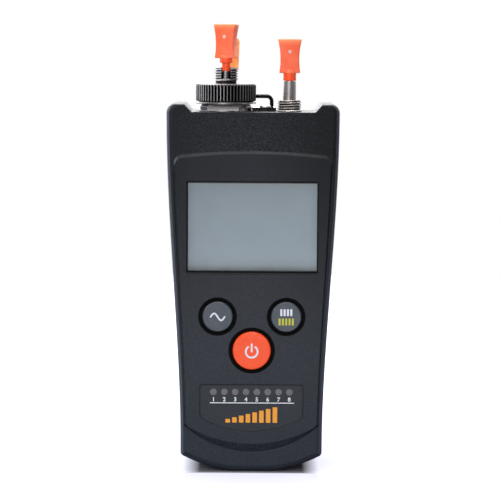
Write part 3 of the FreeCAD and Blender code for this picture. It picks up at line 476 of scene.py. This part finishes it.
def board_finish():
    """Green circuit board with its glass weave."""
    f = Finish("board", Specular_IOR_Level=0.5)
    weave = f.add("ShaderNodeTexWave")
    weave.inputs["Scale"].default_value = 900
    f.link(f.place, weave.inputs["Vector"])
    tone = f.mix(f.ramp(f.noise(500, 2.0), (0.3, 0.0), (0.7, 0.6)), srgb(22, 76, 46), srgb(34, 98, 62))
    f.bump(weave.outputs["Fac"], 0.05, 0.03)
    return f.done(tone, f.ramp(f.noise(300), (0.3, 0.25), (0.7, 0.4)))


def cell_finish():
    """Plain printed sleeve: a dark body with a copper band at one end."""
    f = Finish("cell_sleeve", Coat_Weight=0.4, Coat_Roughness=0.08)
    low, high = box_mm("battery_cell_1")
    dark, copper = srgb(70, 72, 78), srgb(196, 136, 86)
    sleeve = f.ramp(f.spread(f.axis("Z"), low.z * MM, high.z * MM), (0.0, dark), (0.76, dark),
                    (0.765, copper), (0.985, copper), (0.99, srgb(200, 200, 200)))
    tone = f.mix(f.ramp(f.noise(400), (0.3, 0.0), (0.7, 0.25)), sleeve, srgb(110, 110, 114))
    f.bump(f.noise(1500), 0.04, 0.03)
    return f.done(tone, f.ramp(f.noise(500), (0.3, 0.2), (0.7, 0.35)))


# ---------------------------------------------------------------- finishes by the frame's material names
def dark_nickel():
    """The adapter: painted shade on barrel and knurl roots, painted shine on thread and knurl crests, painted
    light from the left.
    """
    painted_bands = [(0.5, srgb(60, 58, 60)), (3.3, srgb(24, 23, 24)), (3.5, srgb(34, 32, 33)),
             (3.72, srgb(240, 237, 239)), (4.3, srgb(236, 233, 235)), (9.2, srgb(215, 213, 214)),
             (9.5, srgb(6, 6, 7)), (9.95, srgb(9, 9, 10)), (10.03, srgb(218, 216, 218))]
    return turned_finish("dark_nickel", detector_x, painted_bands, 10.2,
                         [(0.1, 1.0), (0.4, 0.8), (0.62, 0.3), (0.8, 0.34), (1.0, 0.34)])


def thread_metal():
    """The source port's bushing: thread roots painted dark as shade, the crest painted bright as a highlight.
    """
    painted_bands = [(0.5, srgb(70, 66, 66)), (2.3, srgb(190, 186, 184)), (3.3, srgb(70, 48, 46)),
             (3.55, srgb(96, 72, 70)), (3.97, srgb(222, 217, 214))]
    return turned_finish("thread_metal", source_x, painted_bands, 4.4, [(0.0, 0.8), (0.5, 1.0), (1.0, 1.0)])


finishes = {
    "case_plastic": case_finish(),
    "key_grey": moulded("key_grey", srgb(58, 63, 71), srgb(72, 77, 86), 3400, 0.1, (0.3, 0.42), 0.2, 0.8,
                        Specular_IOR_Level=0.3),
    "key_orange": moulded("key_orange", srgb(255, 70, 8), srgb(255, 88, 26), 2200, 0.06, (0.3, 0.42), 0.15,
                          Specular_IOR_Level=0.25),
    "black_plastic": moulded("black_plastic", srgb(20, 20, 23), srgb(30, 30, 33), 1800, 0.05,
                             (0.12, 0.25), 0.1),
    "inner_plastic": moulded("inner_plastic", srgb(222, 222, 216), srgb(238, 238, 233), 1500, 0.08,
                             (0.4, 0.55)),
    "nickel": metal("nickel", srgb(166, 163, 163), srgb(182, 179, 179), (0.26, 0.32), brush_bump=0.01),
    "dark_nickel": dark_nickel(),
    "ferrule_metal": metal("ferrule_metal", srgb(160, 153, 153), srgb(204, 197, 196), (0.34, 0.5),
                           (2600, 2600, 90), 0.15),
    "thread_metal": thread_metal(),
    "black_steel": metal("black_steel", srgb(26, 26, 28), srgb(38, 38, 41), (0.15, 0.28)),
    "screw_steel": metal("screw_steel", srgb(196, 197, 200), srgb(230, 230, 232), (0.42, 0.55)),
    "contact_metal": metal("contact_metal", srgb(190, 165, 100), srgb(222, 200, 140), (0.15, 0.3)),
    "display": display_finish(),
    "label_film": label_finish(),
    "lamp": lamp_finish(),
    "board": board_finish(),
    "cell_sleeve": cell_finish(),
    "cap_orange": cap_finish("cap_orange", srgb(250, 98, 60), srgb(255, 116, 78), srgb(255, 188, 140),
                             0.6, 0.17, srgb(250, 84, 36)),
}
# Painted glow, strongest on the strap, for light coming through the plastic.
strap_finish = cap_finish("cap_strap", srgb(252, 156, 84), srgb(255, 178, 106), srgb(255, 206, 146),
                          0.4, 0.45)
gate_finish = cap_finish("cap_gate", srgb(255, 206, 186), srgb(255, 226, 210), srgb(255, 236, 224), 0.3)
white_ink = ink("white_ink", srgb(214, 216, 226), srgb(238, 238, 246))
yellow_ink = ink("yellow_ink", srgb(176, 176, 44), srgb(206, 204, 70))
amber_ink = ink("amber_ink", srgb(236, 150, 38), srgb(250, 168, 56))

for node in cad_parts.values():
    for material_slot in node.material_slots:
        source = material_slot.material.name.split(".")[0]
        material_slot.material = finishes.get(source, finishes["case_plastic"])


# ---------------------------------------------------------------- mesh helpers
def piece(name, points, faces, material, body, angle=35.0, replaced=()):
    """A mesh from points in millimetres in the row frame, riding on a CAD body unless that is None."""
    mesh = bpy.data.meshes.new(name)
    mesh.from_pydata([Vector(p) * MM for p in points], [], faces)
    obj = bpy.data.objects.new(name, mesh)
    bpy.context.scene.collection.objects.link(obj)
    work = bmesh.new()
    work.from_mesh(mesh)
    bmesh.ops.recalc_face_normals(work, faces=work.faces)
    work.to_mesh(mesh)
    work.free()
    smooth(mesh, angle)
    mesh.materials.append(material)
    if body:
        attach(obj, body)
        if replaced:
            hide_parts(*replaced)
    return obj


def smooth(mesh, angle):
    """Smooth shading, with edges sharper than angle degrees kept sharp."""
    mesh.polygons.foreach_set("use_smooth", [True] * len(mesh.polygons))
    mesh.set_sharp_from_angle(angle=math.radians(angle))
    mesh.update()


def boolean(obj, tool, operation, angle):
    """obj becomes obj minus, or plus, tool, which goes away."""
    modifier = obj.modifiers.new("cut", "BOOLEAN")
    modifier.operation, modifier.solver, modifier.object = operation, "EXACT", tool
    bpy.context.view_layer.update()
    depsgraph = bpy.context.evaluated_depsgraph_get()
    mesh = bpy.data.meshes.new_from_object(obj.evaluated_get(depsgraph))
    obj.modifiers.clear()
    obj.data = mesh
    smooth(mesh, angle)
    bpy.data.objects.remove(tool)
    return obj


def turns(count):
    """Angles of a full turn in equal steps."""
    return [2 * math.pi * k / count for k in range(count)]


def even(first, last, steps):
    """Numbers from first to last, both in, in equal steps."""
    return [first + (last - first) * i / steps for i in range(steps + 1)]


def circle(radius, count, x=0.0, z=0.0):
    return [(x + radius * math.cos(a), z + radius * math.sin(a)) for a in turns(count)]


def band(start, above, count):
    """Faces between two loops of count points whose first points are start and above."""
    return [(start + k, start + (k + 1) % count, above + (k + 1) % count, above + k) for k in range(count)]


def ring_surface(rings, angles, x):
    """Points and faces of a closed solid of rings about an upright axis; each is (radius or radii, z)."""
    count = len(angles)
    points, faces = [], []
    for radii, z in rings:
        if not isinstance(radii, list):
            radii = [radii] * count
        points += [(x + r * math.cos(a), r * math.sin(a), z) for r, a in zip(radii, angles)]
    for i in range(len(rings)):
        faces += band(i * count, (i + 1) % len(rings) * count, count)
    return points, faces


def turned_solid(name, profile, x, material, body, y=0.0, replaced=(), count=48):
    """A solid of revolution about an upright axis; profile is (radius, z) from axis to axis."""
    points, faces = [(x, y, profile[0][1])], []
    for radius, z in profile[1:-1]:
        points += [(px, py + y, z) for px, py in circle(radius, count, x)]
    rows = len(profile) - 2
    for i in range(rows - 1):
        faces += band(1 + i * count, 1 + (i + 1) * count, count)
    last = 1 + (rows - 1) * count
    points.append((x, y, profile[-1][1]))
    faces += [(0, 1 + (k + 1) % count, 1 + k) for k in range(count)]
    faces += [(last + k, last + (k + 1) % count, len(points) - 1) for k in range(count)]
    return piece(name, points, faces, material, body, 35.0, replaced)


def block(name, x0, x1, y0, y1, z0, z1, material):
    corners = [(x, y, z) for z in (z0, z1) for y in (y0, y1) for x in (x0, x1)]
    faces = [(0, 1, 3, 2), (4, 6, 7, 5), (0, 4, 5, 1), (2, 3, 7, 6), (0, 2, 6, 4), (1, 5, 7, 3)]
    return piece(name, corners, faces, material, None)


def rounded_outline(half_x, half_y, radius, steps=5):
    """Corner points of a rounded rectangle about the origin."""
    points = []
    for i, (sx, sy) in enumerate(((1, 1), (-1, 1), (-1, -1), (1, -1))):
        for angle in even(math.pi / 2 * i, math.pi / 2 * (i + 1), steps):
            points.append((sx * (half_x - radius) + radius * math.cos(angle),
                           sy * (half_y - radius) + radius * math.sin(angle)))
    return points


def loft(sections):
    """Points and faces of a closed solid through loops of the same length."""
    count = len(sections[0])
    points = [p for section in sections for p in section]
    faces = []
    for i in range(len(sections) - 1):
        faces += band(i * count, (i + 1) * count, count)
    for start, section in ((0, sections[0]), ((len(sections) - 1) * count, sections[-1])):
        middle = sum((Vector(p) for p in section), Vector()) / count
        points.append(tuple(middle))
        faces += [(start + k, start + (k + 1) % count, len(points) - 1) for k in range(count)]
    return points, faces


def swept(path, outline, side=None):
    """Sections of an outline carried along a path; outline is (side, out) offsets."""
    sections = []
    for i, here in enumerate(path):
        ahead = (path[min(i + 1, len(path) - 1)] - path[max(i - 1, 0)]).normalized()
        if side is None:
            side = ahead.cross(Vector((0, 1, 0)) if abs(ahead.y) < 0.9 else Vector((1, 0, 0))).normalized()
        side = (side - ahead * side.dot(ahead)).normalized()
        out = side.cross(ahead)
        sections.append([tuple(here + side * a + out * b) for a, b in outline])
    return sections


# ---------------------------------------------------------------- screw threads and knurling
thread_r, thread_pitch, thread_depth = 4.0, 0.85, 0.58
flank_slope, crest_flat = 1.6, 0.4
run_out_top, run_out_low, run_out_start = 0.3, 0.25, 0.15
lead_depth, lead_height = 0.3, 0.35
rows_per_turn = 8
knurl_count, knurl_depth, knurl_bevel, knurl_land = 56, 0.45, 0.45, 2.0
tooth = (0.0, 0.42, 0.58)        # root, crest, crest, as parts of a tooth


def thread_rings(z0, z1, angles):
    """Rings of a helical V thread from z1 down to z0, run out at both ends."""
    rows = max(2, int(round((z1 - z0) / thread_pitch * rows_per_turn)))
    rings = []
    for z in even(z1, z0, rows):
        fade = max(0.0, min(1.0, (z1 - z) / run_out_top, (z - z0) / run_out_low + run_out_start))
        lead = lead_depth * max(0.0, 1 - (z1 - z) / lead_height)
        radii = []
        for angle in angles:
            phase = (z / thread_pitch - angle / (2 * math.pi)) % 1.0
            valley = min(1.0, max(0.0, flank_slope * abs(2 * phase - 1) - crest_flat))
            radii.append(thread_r - max(thread_depth * valley * fade, lead))
        rings.append((radii, z))
    return rings


def build_adapter():
    """Knurled coupling nut, neck and threaded barrel with its key slot."""
    crest = (adapter_high.x - adapter_low.x) / 2
    root = crest - knurl_depth
    nut_height, nut_roof, thread_length = 6.0, 2.3, 4.3
    cavity_r, bore_r, mouth_r, neck_r, face_r, tooth_face_r = 7.05, 1.95, 2.75, 3.5, 8.95, 9.0
    cavity_chamfer, mouth_chamfer, mouth_chamfer_height, neck_chamfer = 0.15, 0.2, 0.25, 0.12
    thread_gap, face_relief = 0.02, 0.25
    key_half, key_depth, key_past = 1.55, 3.7, 1.0
    low, barrel_top = adapter_low.z, adapter_high.z
    nut_top, thread_low = low + nut_height, barrel_top - thread_length
    cavity_top = nut_top - nut_roof

    angles = [2 * math.pi * (i + f) / knurl_count for i in range(knurl_count) for f in tooth]
    teeth = [root if f == 0.0 else crest for _ in range(knurl_count) for f in tooth]
    bevelled = [min(r - knurl_bevel, tooth_face_r + face_relief * (r - root)) for r in teeth]

    rings = [(cavity_r, low + cavity_chamfer), (cavity_r, cavity_top), (bore_r, cavity_top),
             (bore_r, nut_top), (mouth_r, nut_top), (mouth_r, barrel_top - mouth_chamfer_height),
             (mouth_r + mouth_chamfer, barrel_top)]
    rings += thread_rings(thread_low, barrel_top, angles)
    rings += [(neck_r, thread_low - thread_gap), (neck_r, nut_top + neck_chamfer),
              (neck_r + neck_chamfer, nut_top), (face_r, nut_top), (bevelled, nut_top),
              (teeth, nut_top - knurl_bevel),
              (teeth, nut_top - knurl_land), (teeth, low + knurl_land), (teeth, low + knurl_bevel),
              (bevelled, low), (face_r, low), (cavity_r + cavity_chamfer, low)]
    points, faces = ring_surface(rings, angles, detector_x)
    body = piece("adapter_body", points, faces, finishes["dark_nickel"], "adapter", 28.0,
                 ("fc_adapter",))
    slot = block("slot_cutter", detector_x - key_half, detector_x + key_half, -thread_r - key_past, 0.0,
                 barrel_top - key_depth, barrel_top + key_past, finishes["dark_nickel"])
    boolean(body, slot, "DIFFERENCE", 28.0)


def build_bushing():
    """Threaded bushing of the light source port."""
    bore_r, shank_r, chamfer, flange_edge, flange_height = 2.25, 3.6, 0.12, 0.1, 0.35
    low, flange_top, top = bushing_low.z, deck_z + flange_height, bushing_high.z
    flange_r = (bushing_high.x - bushing_low.x) / 2
    angles = turns(96)
    rings = [(bore_r, low), (bore_r, top - chamfer), (bore_r + chamfer, top)]
    rings += thread_rings(flange_top, top, angles)
    rings += [(flange_r - flange_edge, flange_top), (flange_r, flange_top - flange_edge),
              (flange_r, deck_z), (shank_r, deck_z), (shank_r, low)]
    points, faces = ring_surface(rings, angles, source_x)
    piece("source_bushing", points, faces, finishes["thread_metal"], "case", 28.0, ("vfl_bushing",))


build_adapter()
build_bushing()


# ---------------------------------------------------------------- dust caps
cap_yaw = -20.0
grip_low_half, grip_waist_half, grip_top_half, grip_edge = 3.55, 3.15, 4.0, 0.4
gate_rise = 7.1
pin_r, pin_tip, pin_length = 1.25, 0.3, 4.6
collar_r, collar_edge, stem_overlap = 2.15, 0.15, 0.8


def stand_at(obj, x, yaw):
    """Turns a mesh made about the row frame's upright axis and moves it along X."""
    obj.data.transform(Matrix.Translation((x * MM, 0, 0)) @ Matrix.Rotation(math.radians(yaw), 4, "Z"))


def paddle(name, x, z0, yaw):
    """The paddle that fingers pull: waisted flanks, rounded all round."""
    rounding = even(0, math.pi / 2, 4)
    levels = [(z0 + grip_edge * (1 - math.cos(a)), grip_edge * (1 - math.sin(a))) for a in rounding[:-1]]
    levels += [(z, 0.0) for z in even(z0 + grip_edge, z0 + grip_height - grip_edge, 14)]
    levels += [(z0 + grip_height - grip_edge * (1 - math.sin(a)), grip_edge * (1 - math.cos(a)))
               for a in rounding[1:]]
    least_corner, sections = 0.12, []
    for z, inset in levels:
        t = (z - z0) / grip_height
        half = (grip_low_half * (1 - t) * (1 - 2 * t) + grip_waist_half * 4 * t * (1 - t)
                + grip_top_half * t * (2 * t - 1))
        loop = rounded_outline(half - inset, grip_thick / 2 - inset, max(grip_edge - inset, least_corner))
        sections.append([(px, py, z) for px, py in loop])
    points, faces = loft(sections)
    obj = piece(name, points, faces, finishes["cap_orange"], None, 50.0)
    stand_at(obj, x, yaw)
    return obj


def gate_mark(name, x, z, yaw, body):
    """The pale scar of the moulding gate in the middle of the paddle's face."""
    front, count = -grip_thick / 2, 20
    loops = ((0.62, 0.02), (0.57, -0.05), (0.3, -0.07), (0.2, -0.03))     # radius, depth in the face
    points, faces = [], []
    for radius, depth in loops:
        points += [(px, front + depth, pz) for px, pz in circle(radius, count, 0.0, z)]
    for i in range(len(loops) - 1):
        faces += band(i * count, (i + 1) * count, count)
    faces += [tuple(range(len(points) - count, len(points))), tuple(range(count))]
    obj = piece(name, points, faces, gate_finish, None, 40.0)
    stand_at(obj, x, yaw)
    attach(obj, body)


def paddle_and_stem(name, x, z_low, grip_low, yaw, shoulders):
    """A paddle on its stem: a pin, shoulders (radius, z) above it, and a collar that ends in the grip."""
    cap = paddle(name, x, grip_low, yaw)
    profile = [(0, z_low), (pin_r - pin_tip, z_low), (pin_r, z_low + pin_tip)] + shoulders
    profile += [(collar_r, grip_low + stem_overlap), (0, grip_low + stem_overlap)]
    stem = turned_solid("stem", profile, x, finishes["cap_orange"], None)
    return boolean(cap, stem, "UNION", 40.0)


def build_left_cap():
    """The adapter's cap, with a neck under its collar and a strap that hooks down behind."""
    neck_r, neck_length, neck_edge = 1.4, 2.6, 0.05
    neck_low = left_low.z + pin_length
    collar_low = neck_low + neck_length
    shoulders = [(pin_r, neck_low), (neck_r, neck_low + neck_edge), (neck_r, collar_low - collar_edge),
                 (neck_r + collar_edge, collar_low), (collar_r - collar_edge, collar_low),
                 (collar_r, collar_low + collar_edge)]
    cap = paddle_and_stem("left_cap_body", detector_x, left_low.z, left_grip_low, cap_yaw, shoulders)
    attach(cap, "left_cap")
    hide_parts("left_dust_cap")
    gate_mark("left_cap_gate", detector_x, left_grip_low + gate_rise, cap_yaw, "left_cap")

    start, reach, turn, foot = 1.4, 6.2, 1.7, 5.3
    width, thick, corner, aside, rise, end = 3.2, 1.0, 0.3, 0.75, 6.9, 10.5
    high, low = left_grip_low + rise - thick / 2, adapter_low.z + end
    route = [(y, high) for y in even(start, reach - turn, 4)[:-1]]
    route += [(reach - turn + turn * math.sin(a), high - turn + turn * math.cos(a))
              for a in even(0, math.pi / 2, 10)]
    route += list(zip(even(reach, foot, 8)[1:], even(high - turn, low, 8)[1:]))
    path = [Vector((aside, y, z)) for y, z in route]
    outline = rounded_outline(width / 2, thick / 2, corner, 4)
    points, faces = loft(swept(path, outline, Vector((1, 0, 0))))
    strap = piece("left_cap_strap", points, faces, strap_finish, None, 45.0)
    stand_at(strap, detector_x, cap_yaw)
    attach(strap, "left_cap")


def build_right_cap():
    """The source port's cap, whose collar stands straight on its pin."""
    collar_low = right_low.z + pin_length
    shoulders = [(pin_r, collar_low), (collar_r - collar_edge, collar_low),
                 (collar_r, collar_low + collar_edge)]
    cap = paddle_and_stem("right_cap_body", source_x, right_low.z, right_grip_low, 0.0, shoulders)
    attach(cap, "right_cap")
    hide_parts("right_dust_cap")
    gate_mark("right_cap_gate", source_x, right_grip_low + gate_rise, 0.0, "right_cap")


build_left_cap()
build_right_cap()


# ---------------------------------------------------------------- wire loop and its screw
def build_wire():
    """Bent wire: up from the plate, over to a half loop, and back down beside itself."""
    radius, bend, loop_out = 0.65, 1.6, 2.3
    leg_x, end_x = wire_high.x - radius, wire_low.x + radius + loop_out
    front_y, back_y = wire_low.y + radius, wire_high.y - radius
    top = wire_high.z - radius
    half_way = (wire_low.z + top - bend) / 2
    leg = [(leg_x, wire_low.z), (leg_x, half_way)]
    leg += [(leg_x - bend + bend * math.cos(a), top - bend + bend * math.sin(a))
            for a in even(0, math.pi / 2, 10)]
    middle_y, loop_r = (front_y + back_y) / 2, (back_y - front_y) / 2
    path = [Vector((x, front_y, z)) for x, z in leg]
    path += [Vector((end_x - loop_r * math.sin(a), middle_y - loop_r * math.cos(a), top))
             for a in even(0, math.pi, 24)]
    path += [Vector((x, back_y, z)) for x, z in reversed(leg)]
    points, faces = loft(swept(path, circle(radius, 20)))
    piece("bent_wire", points, faces, finishes["black_steel"], "case", 50.0, ("wire_loop",))


def build_screw():
    """Domed screw that holds the plate."""
    middle = (screw_low + screw_high) / 2
    head_r, shank_r, edge, fullness = 1.85, 1.0, 0.18, 0.8
    seat, top = plate_high.z, screw_high.z
    dome = [(head_r * math.cos(a) ** fullness, seat + edge + (top - seat - edge) * math.sin(a))
            for a in even(0, math.pi / 2, 10)[:-1]]
    profile = [(0, screw_low.z), (shank_r, screw_low.z), (shank_r, seat), (head_r, seat)] + dome + [(0, top)]
    turned_solid("screw_body", profile, middle.x, finishes["screw_steel"], "case", middle.y,
                 ("anchor_screw",))


build_wire()
build_screw()


# ---------------------------------------------------------------- printed signs
ink_back, ink_front = 0.01, 0.05     # in front of the face that is printed on


def printed(name, loops, y, material, body):
    """Flat ink shapes on a face that looks towards -Y; loops are outlines of (x, z)."""
    points, faces = [], []
    for loop in loops:
        start, count = len(points), len(loop)
        points += [(x, y - ink_front, z) for x, z in loop] + [(x, y - ink_back, z) for x, z in loop]
        faces.append(tuple(range(start, start + count)))
        faces.append(tuple(range(start + 2 * count - 1, start + count - 1, -1)))
        faces += band(start, start + count, count)
    piece(name, points, faces, material, body, 30.0)


def bar(x0, z0, width, height, corner):
    """Outline of an upright bar from its lower left corner."""
    return [(x0 + width / 2 + px, z0 + height / 2 + pz)
            for px, pz in rounded_outline(width / 2, height / 2, corner, 3)]


def bar_row(middle_x, z, step, width, heights, corner=0.12):
    """Outlines of bars side by side about middle_x, one for each height."""
    first = middle_x - (step * (len(heights) - 1) + width) / 2
    return [bar(first + step * i, z, width, height, corner) for i, height in enumerate(heights)]


def stroke(line, width):
    """Outline of a line of (x, z) points drawn with a pen of this width, round at its ends."""
    left, right, caps = [], [], []
    for i, (x, z) in enumerate(line):
        ax, az = line[max(i - 1, 0)]
        bx, bz = line[min(i + 1, len(line) - 1)]
        length = math.hypot(bx - ax, bz - az)
        nx, nz = -(bz - az) / length * width / 2, (bx - ax) / length * width / 2
        left.append((x + nx, z + nz))
        right.append((x - nx, z - nz))
    for (x, z), (px, pz) in ((line[-1], left[-1]), (line[0], right[0])):
        start = math.atan2(pz - z, px - x)
        caps.append([(x + width / 2 * math.cos(a), z + width / 2 * math.sin(a))
                     for a in even(start, start - math.pi, 6)[1:-1]])
    return left + caps[0] + right[::-1] + caps[1]


def build_label_print():
    """Lamp windows, the figures 1 to 8 under them, a line and a row of rising bars."""
    lamp_count, lamp_r = 8, 1.1
    lamp_z = (lamps_low.z + lamps_high.z) / 2
    lamp_step = (lamps_high.x - lamps_low.x - (lamps_high.z - lamps_low.z)) / (lamp_count - 1)
    lamp_xs = [lamp_step * (i - (lamp_count - 1) / 2) for i in range(lamp_count)]
    printed("lamp_windows", [circle(lamp_r, 32, x, lamp_z) for x in lamp_xs], label_front, finishes["lamp"],
            "case")
    line_left, line_z, line_length, line_pen = -13.8, 23.28, 28.0, 0.3
    printed("label_line", [bar(line_left, line_z, line_length, line_pen, 0.1)], label_front, white_ink,
            "case")

    bars_z, bar_step, bar_width, lowest, highest = 16.8, 2.24, 1.52, 1.2, 5.2
    bars = bar_row(0.0, bars_z, bar_step, bar_width, even(lowest, highest, lamp_count - 1), 0.16)
    printed("level_bars", bars, label_front, amber_ink, "case")
    for i, x in enumerate(lamp_xs):
        build_digit(i + 1, x)


def build_digit(number, x):
    """One figure of the lamps' scale, as ink on the label."""
    z, height, weight, thick = 24.55, 1.95, 0.05, 0.03
    text = bpy.data.curves.new("digit_text", "FONT")
    text.body, text.size = str(number), height * MM
    text.align_x, text.align_y = "CENTER", "CENTER"
    text.offset, text.extrude = weight * MM, thick / 2 * MM
    text.resolution_u = 4
    source = bpy.data.objects.new("digit_source", text)
    bpy.context.scene.collection.objects.link(source)
    bpy.context.view_layer.update()
    mesh = bpy.data.meshes.new_from_object(source.evaluated_get(bpy.context.evaluated_depsgraph_get()))
    bpy.data.objects.remove(source)
    ink_middle = label_front - (ink_front - thick / 2)
    upright = Matrix.Rotation(math.pi / 2, 4, "X")
    mesh.transform(Matrix.Translation((x * MM, ink_middle * MM, z * MM)) @ upright)
    mesh.materials.clear()
    mesh.materials.append(white_ink)
    digit = bpy.data.objects.new(f"label_digit_{number}", mesh)
    bpy.context.scene.collection.objects.link(digit)
    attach(digit, "case")


def build_key_signs():
    """A wave, two rows of bars and the power sign, each on its key."""
    half, height, pen = 2.3, 1.15, 0.55
    key_x, key_y = middle_mm("left_key").x, box_mm("left_key")[0].y
    wave = [(key_x + half * a / math.pi, side_key_z - height * math.sin(a))
            for a in even(-math.pi, math.pi, 40)]
    printed("left_key_sign", [stroke(wave, pen)], key_y, white_ink, "left_button")

    step, width, height, gap = 1.1, 0.7, 2.3, 0.4
    key_x, key_y = middle_mm("right_key").x, box_mm("right_key")[0].y
    upper = bar_row(key_x, side_key_z + gap, step, width, [height] * 4)
    lower = bar_row(key_x, side_key_z - gap - height, step, width, [height] * 5)
    printed("right_key_sign_upper", upper, key_y, white_ink, "right_button")
    printed("right_key_sign_lower", lower, key_y, yellow_ink, "right_button")

    ring_r, drop, opening, pen = 1.95, 0.3, 38.0, 0.62
    stem_low, stem_high = -0.2, 2.2
    key_x, key_y = middle_mm("centre_key").x, box_mm("centre_key")[0].y
    ring = [(key_x + ring_r * math.sin(a), centre_key_z - drop + ring_r * math.cos(a))
            for a in even(math.radians(opening), math.radians(360 - opening), 40)]
    stem = [(key_x, centre_key_z + stem_low), (key_x, centre_key_z + stem_high)]
    printed("centre_key_sign", [stroke(ring, pen), stroke(stem, pen)], key_y, white_ink, "centre_button")


build_label_print()
build_key_signs()


# ---------------------------------------------------------------- floor, world, lamps, camera
def studio_floor():
    """A plain floor that looks white to the camera and to shiny parts, and keeps the object's shadow.

    It doesn't glow under the object's foot, so a painted shadow lies there; the glow starts round the foot
    and grows outwards.
    """
    foot_x, clear_x, foot_y, clear_y = 17.2, 22.8, 14.4, 15.6
    bpy.ops.mesh.primitive_circle_add(vertices=96, radius=0.55, fill_type="NGON")
    floor = bpy.context.object
    floor.name = "studio_floor"
    f = Finish("studio_floor", Base_Color=(0.22, 0.22, 0.24, 1.0), Roughness=0.9, Specular_IOR_Level=0.0)
    length = f.add("ShaderNodeVectorMath", operation="LENGTH")
    f.link(f.place, length.inputs[0])
    length = length.outputs["Value"]
    rays = f.add("ShaderNodeLightPath").outputs

    # Painted shadow: the glow is kept low in a box round the foot, on top of the real shadow.
    aside = f.spread(f.absolute(f.axis("X")), foot_x * MM, clear_x * MM, 0.0, 0.94)
    ahead = f.spread(f.absolute(f.axis("Y")), foot_y * MM, clear_y * MM, 0.0, 0.79)
    seen = f.math("ADD", f.most(aside, ahead), f.spread(length, 0.02, 0.12, 0.0, 0.7))
    mirrored = f.times(f.above(f.axis("Y"), 0.0), f.spread(length, 0.1, 0.45, 0.04, 1.0))
    strength = f.math("ADD", f.times(rays["Is Camera Ray"], seen), f.times(rays["Is Glossy Ray"], mirrored))

    glow = f.add("ShaderNodeEmission")
    glow.inputs["Color"].default_value = (0.857, 0.862, 1.0, 1.0)
    f.link(strength, glow.inputs["Strength"])
    both = f.add("ShaderNodeAddShader")
    f.link(f.shader.outputs[0], both.inputs[0])
    f.link(glow.outputs[0], both.inputs[1])
    f.link(both.outputs[0], f.tree.nodes["Material Output"].inputs["Surface"])
    floor.data.materials.append(f.material)


def studio_world():
    """White behind the object; for its light, white above and behind, dim on the camera's side."""
    world = bpy.data.worlds.new("studio")
    bpy.context.scene.world = world
    world.use_nodes = True
    w = Nodes(world.node_tree, "Generated")
    rays = w.add("ShaderNodeLightPath").outputs

    behind = w.spread(w.axis("Y"), -0.1, 0.7, 0.03, 1.0)
    brighter_up = w.spread(w.axis("Z"), 0.0, 0.05, 1.2, 5.0)
    brighter_left = w.spread(w.axis("X"), -0.9, 0.9, 1.4, 0.4)
    overhead = w.spread(w.axis("Z"), 0.2, 0.8, 0.0, 0.9)
    level = w.most(w.times(behind, brighter_up, brighter_left), overhead)
    lit = w.times(level, w.most(rays["Is Glossy Ray"], 0.08))

    background = w.tree.nodes["Background"]
    background.inputs["Color"].default_value = (1, 1, 1, 1)
    w.link(w.most(lit, rays["Is Camera Ray"]), background.inputs["Strength"])


def soft_lamp(name, place, target, width, height, power, colour=(1, 1, 1)):
    """A rectangular lamp that the camera doesn't see, aimed at target; metres and watts."""
    data = bpy.data.lights.new(name, "AREA")
    data.shape, data.size, data.size_y, data.energy, data.color = "RECTANGLE", width, height, power, colour
    lamp = bpy.data.objects.new(name, data)
    bpy.context.scene.collection.objects.link(lamp)
    lamp.location = place
    lamp.rotation_euler = (Vector(target) - Vector(place)).to_track_quat("-Z", "Y").to_euler()
    lamp.visible_camera = False


def studio_camera():
    """A long lens in front of the object, a little above its middle."""
    place, pitch, roll = (-0.00077, -0.663, 0.14276), 84.0, 0.35
    data = bpy.data.cameras.new("camera")
    data.sensor_width, data.lens = 36.0, 142.56
    data.clip_start, data.clip_end = 0.01, 20.0
    camera = bpy.data.objects.new("camera", data)
    bpy.context.scene.collection.objects.link(camera)
    camera.matrix_world = (Matrix.Translation(place) @ Matrix.Rotation(math.radians(pitch), 4, "X")
                           @ Matrix.Rotation(math.radians(roll), 4, "Z"))
    bpy.context.scene.camera = camera


studio_floor()
studio_world()
soft_lamp("key_lamp", (-0.2, -0.75, 0.4), (0, 0, 0.06), 0.35, 0.35, 3.1)
soft_lamp("top_lamp", (0.0, -0.05, 0.75), (0, 0, 0.06), 0.6, 0.5, 4.6)
soft_lamp("low_lamp", (0.0, -0.2, 0.02), (0, 0, 0.04), 0.16, 0.03, 0.12, (0.86, 0.92, 1.0))
soft_lamp("left_lamp", (-0.6, -0.05, 0.45), (0, 0, 0.08), 0.3, 0.3, 1.6, (0.9, 0.94, 1.0))
soft_lamp("right_lamp", (0.7, -0.2, 0.2), (0, 0, 0.08), 0.12, 0.6, 0.25)
studio_camera()

scene = bpy.context.scene
scene.view_settings.view_transform = "Standard"
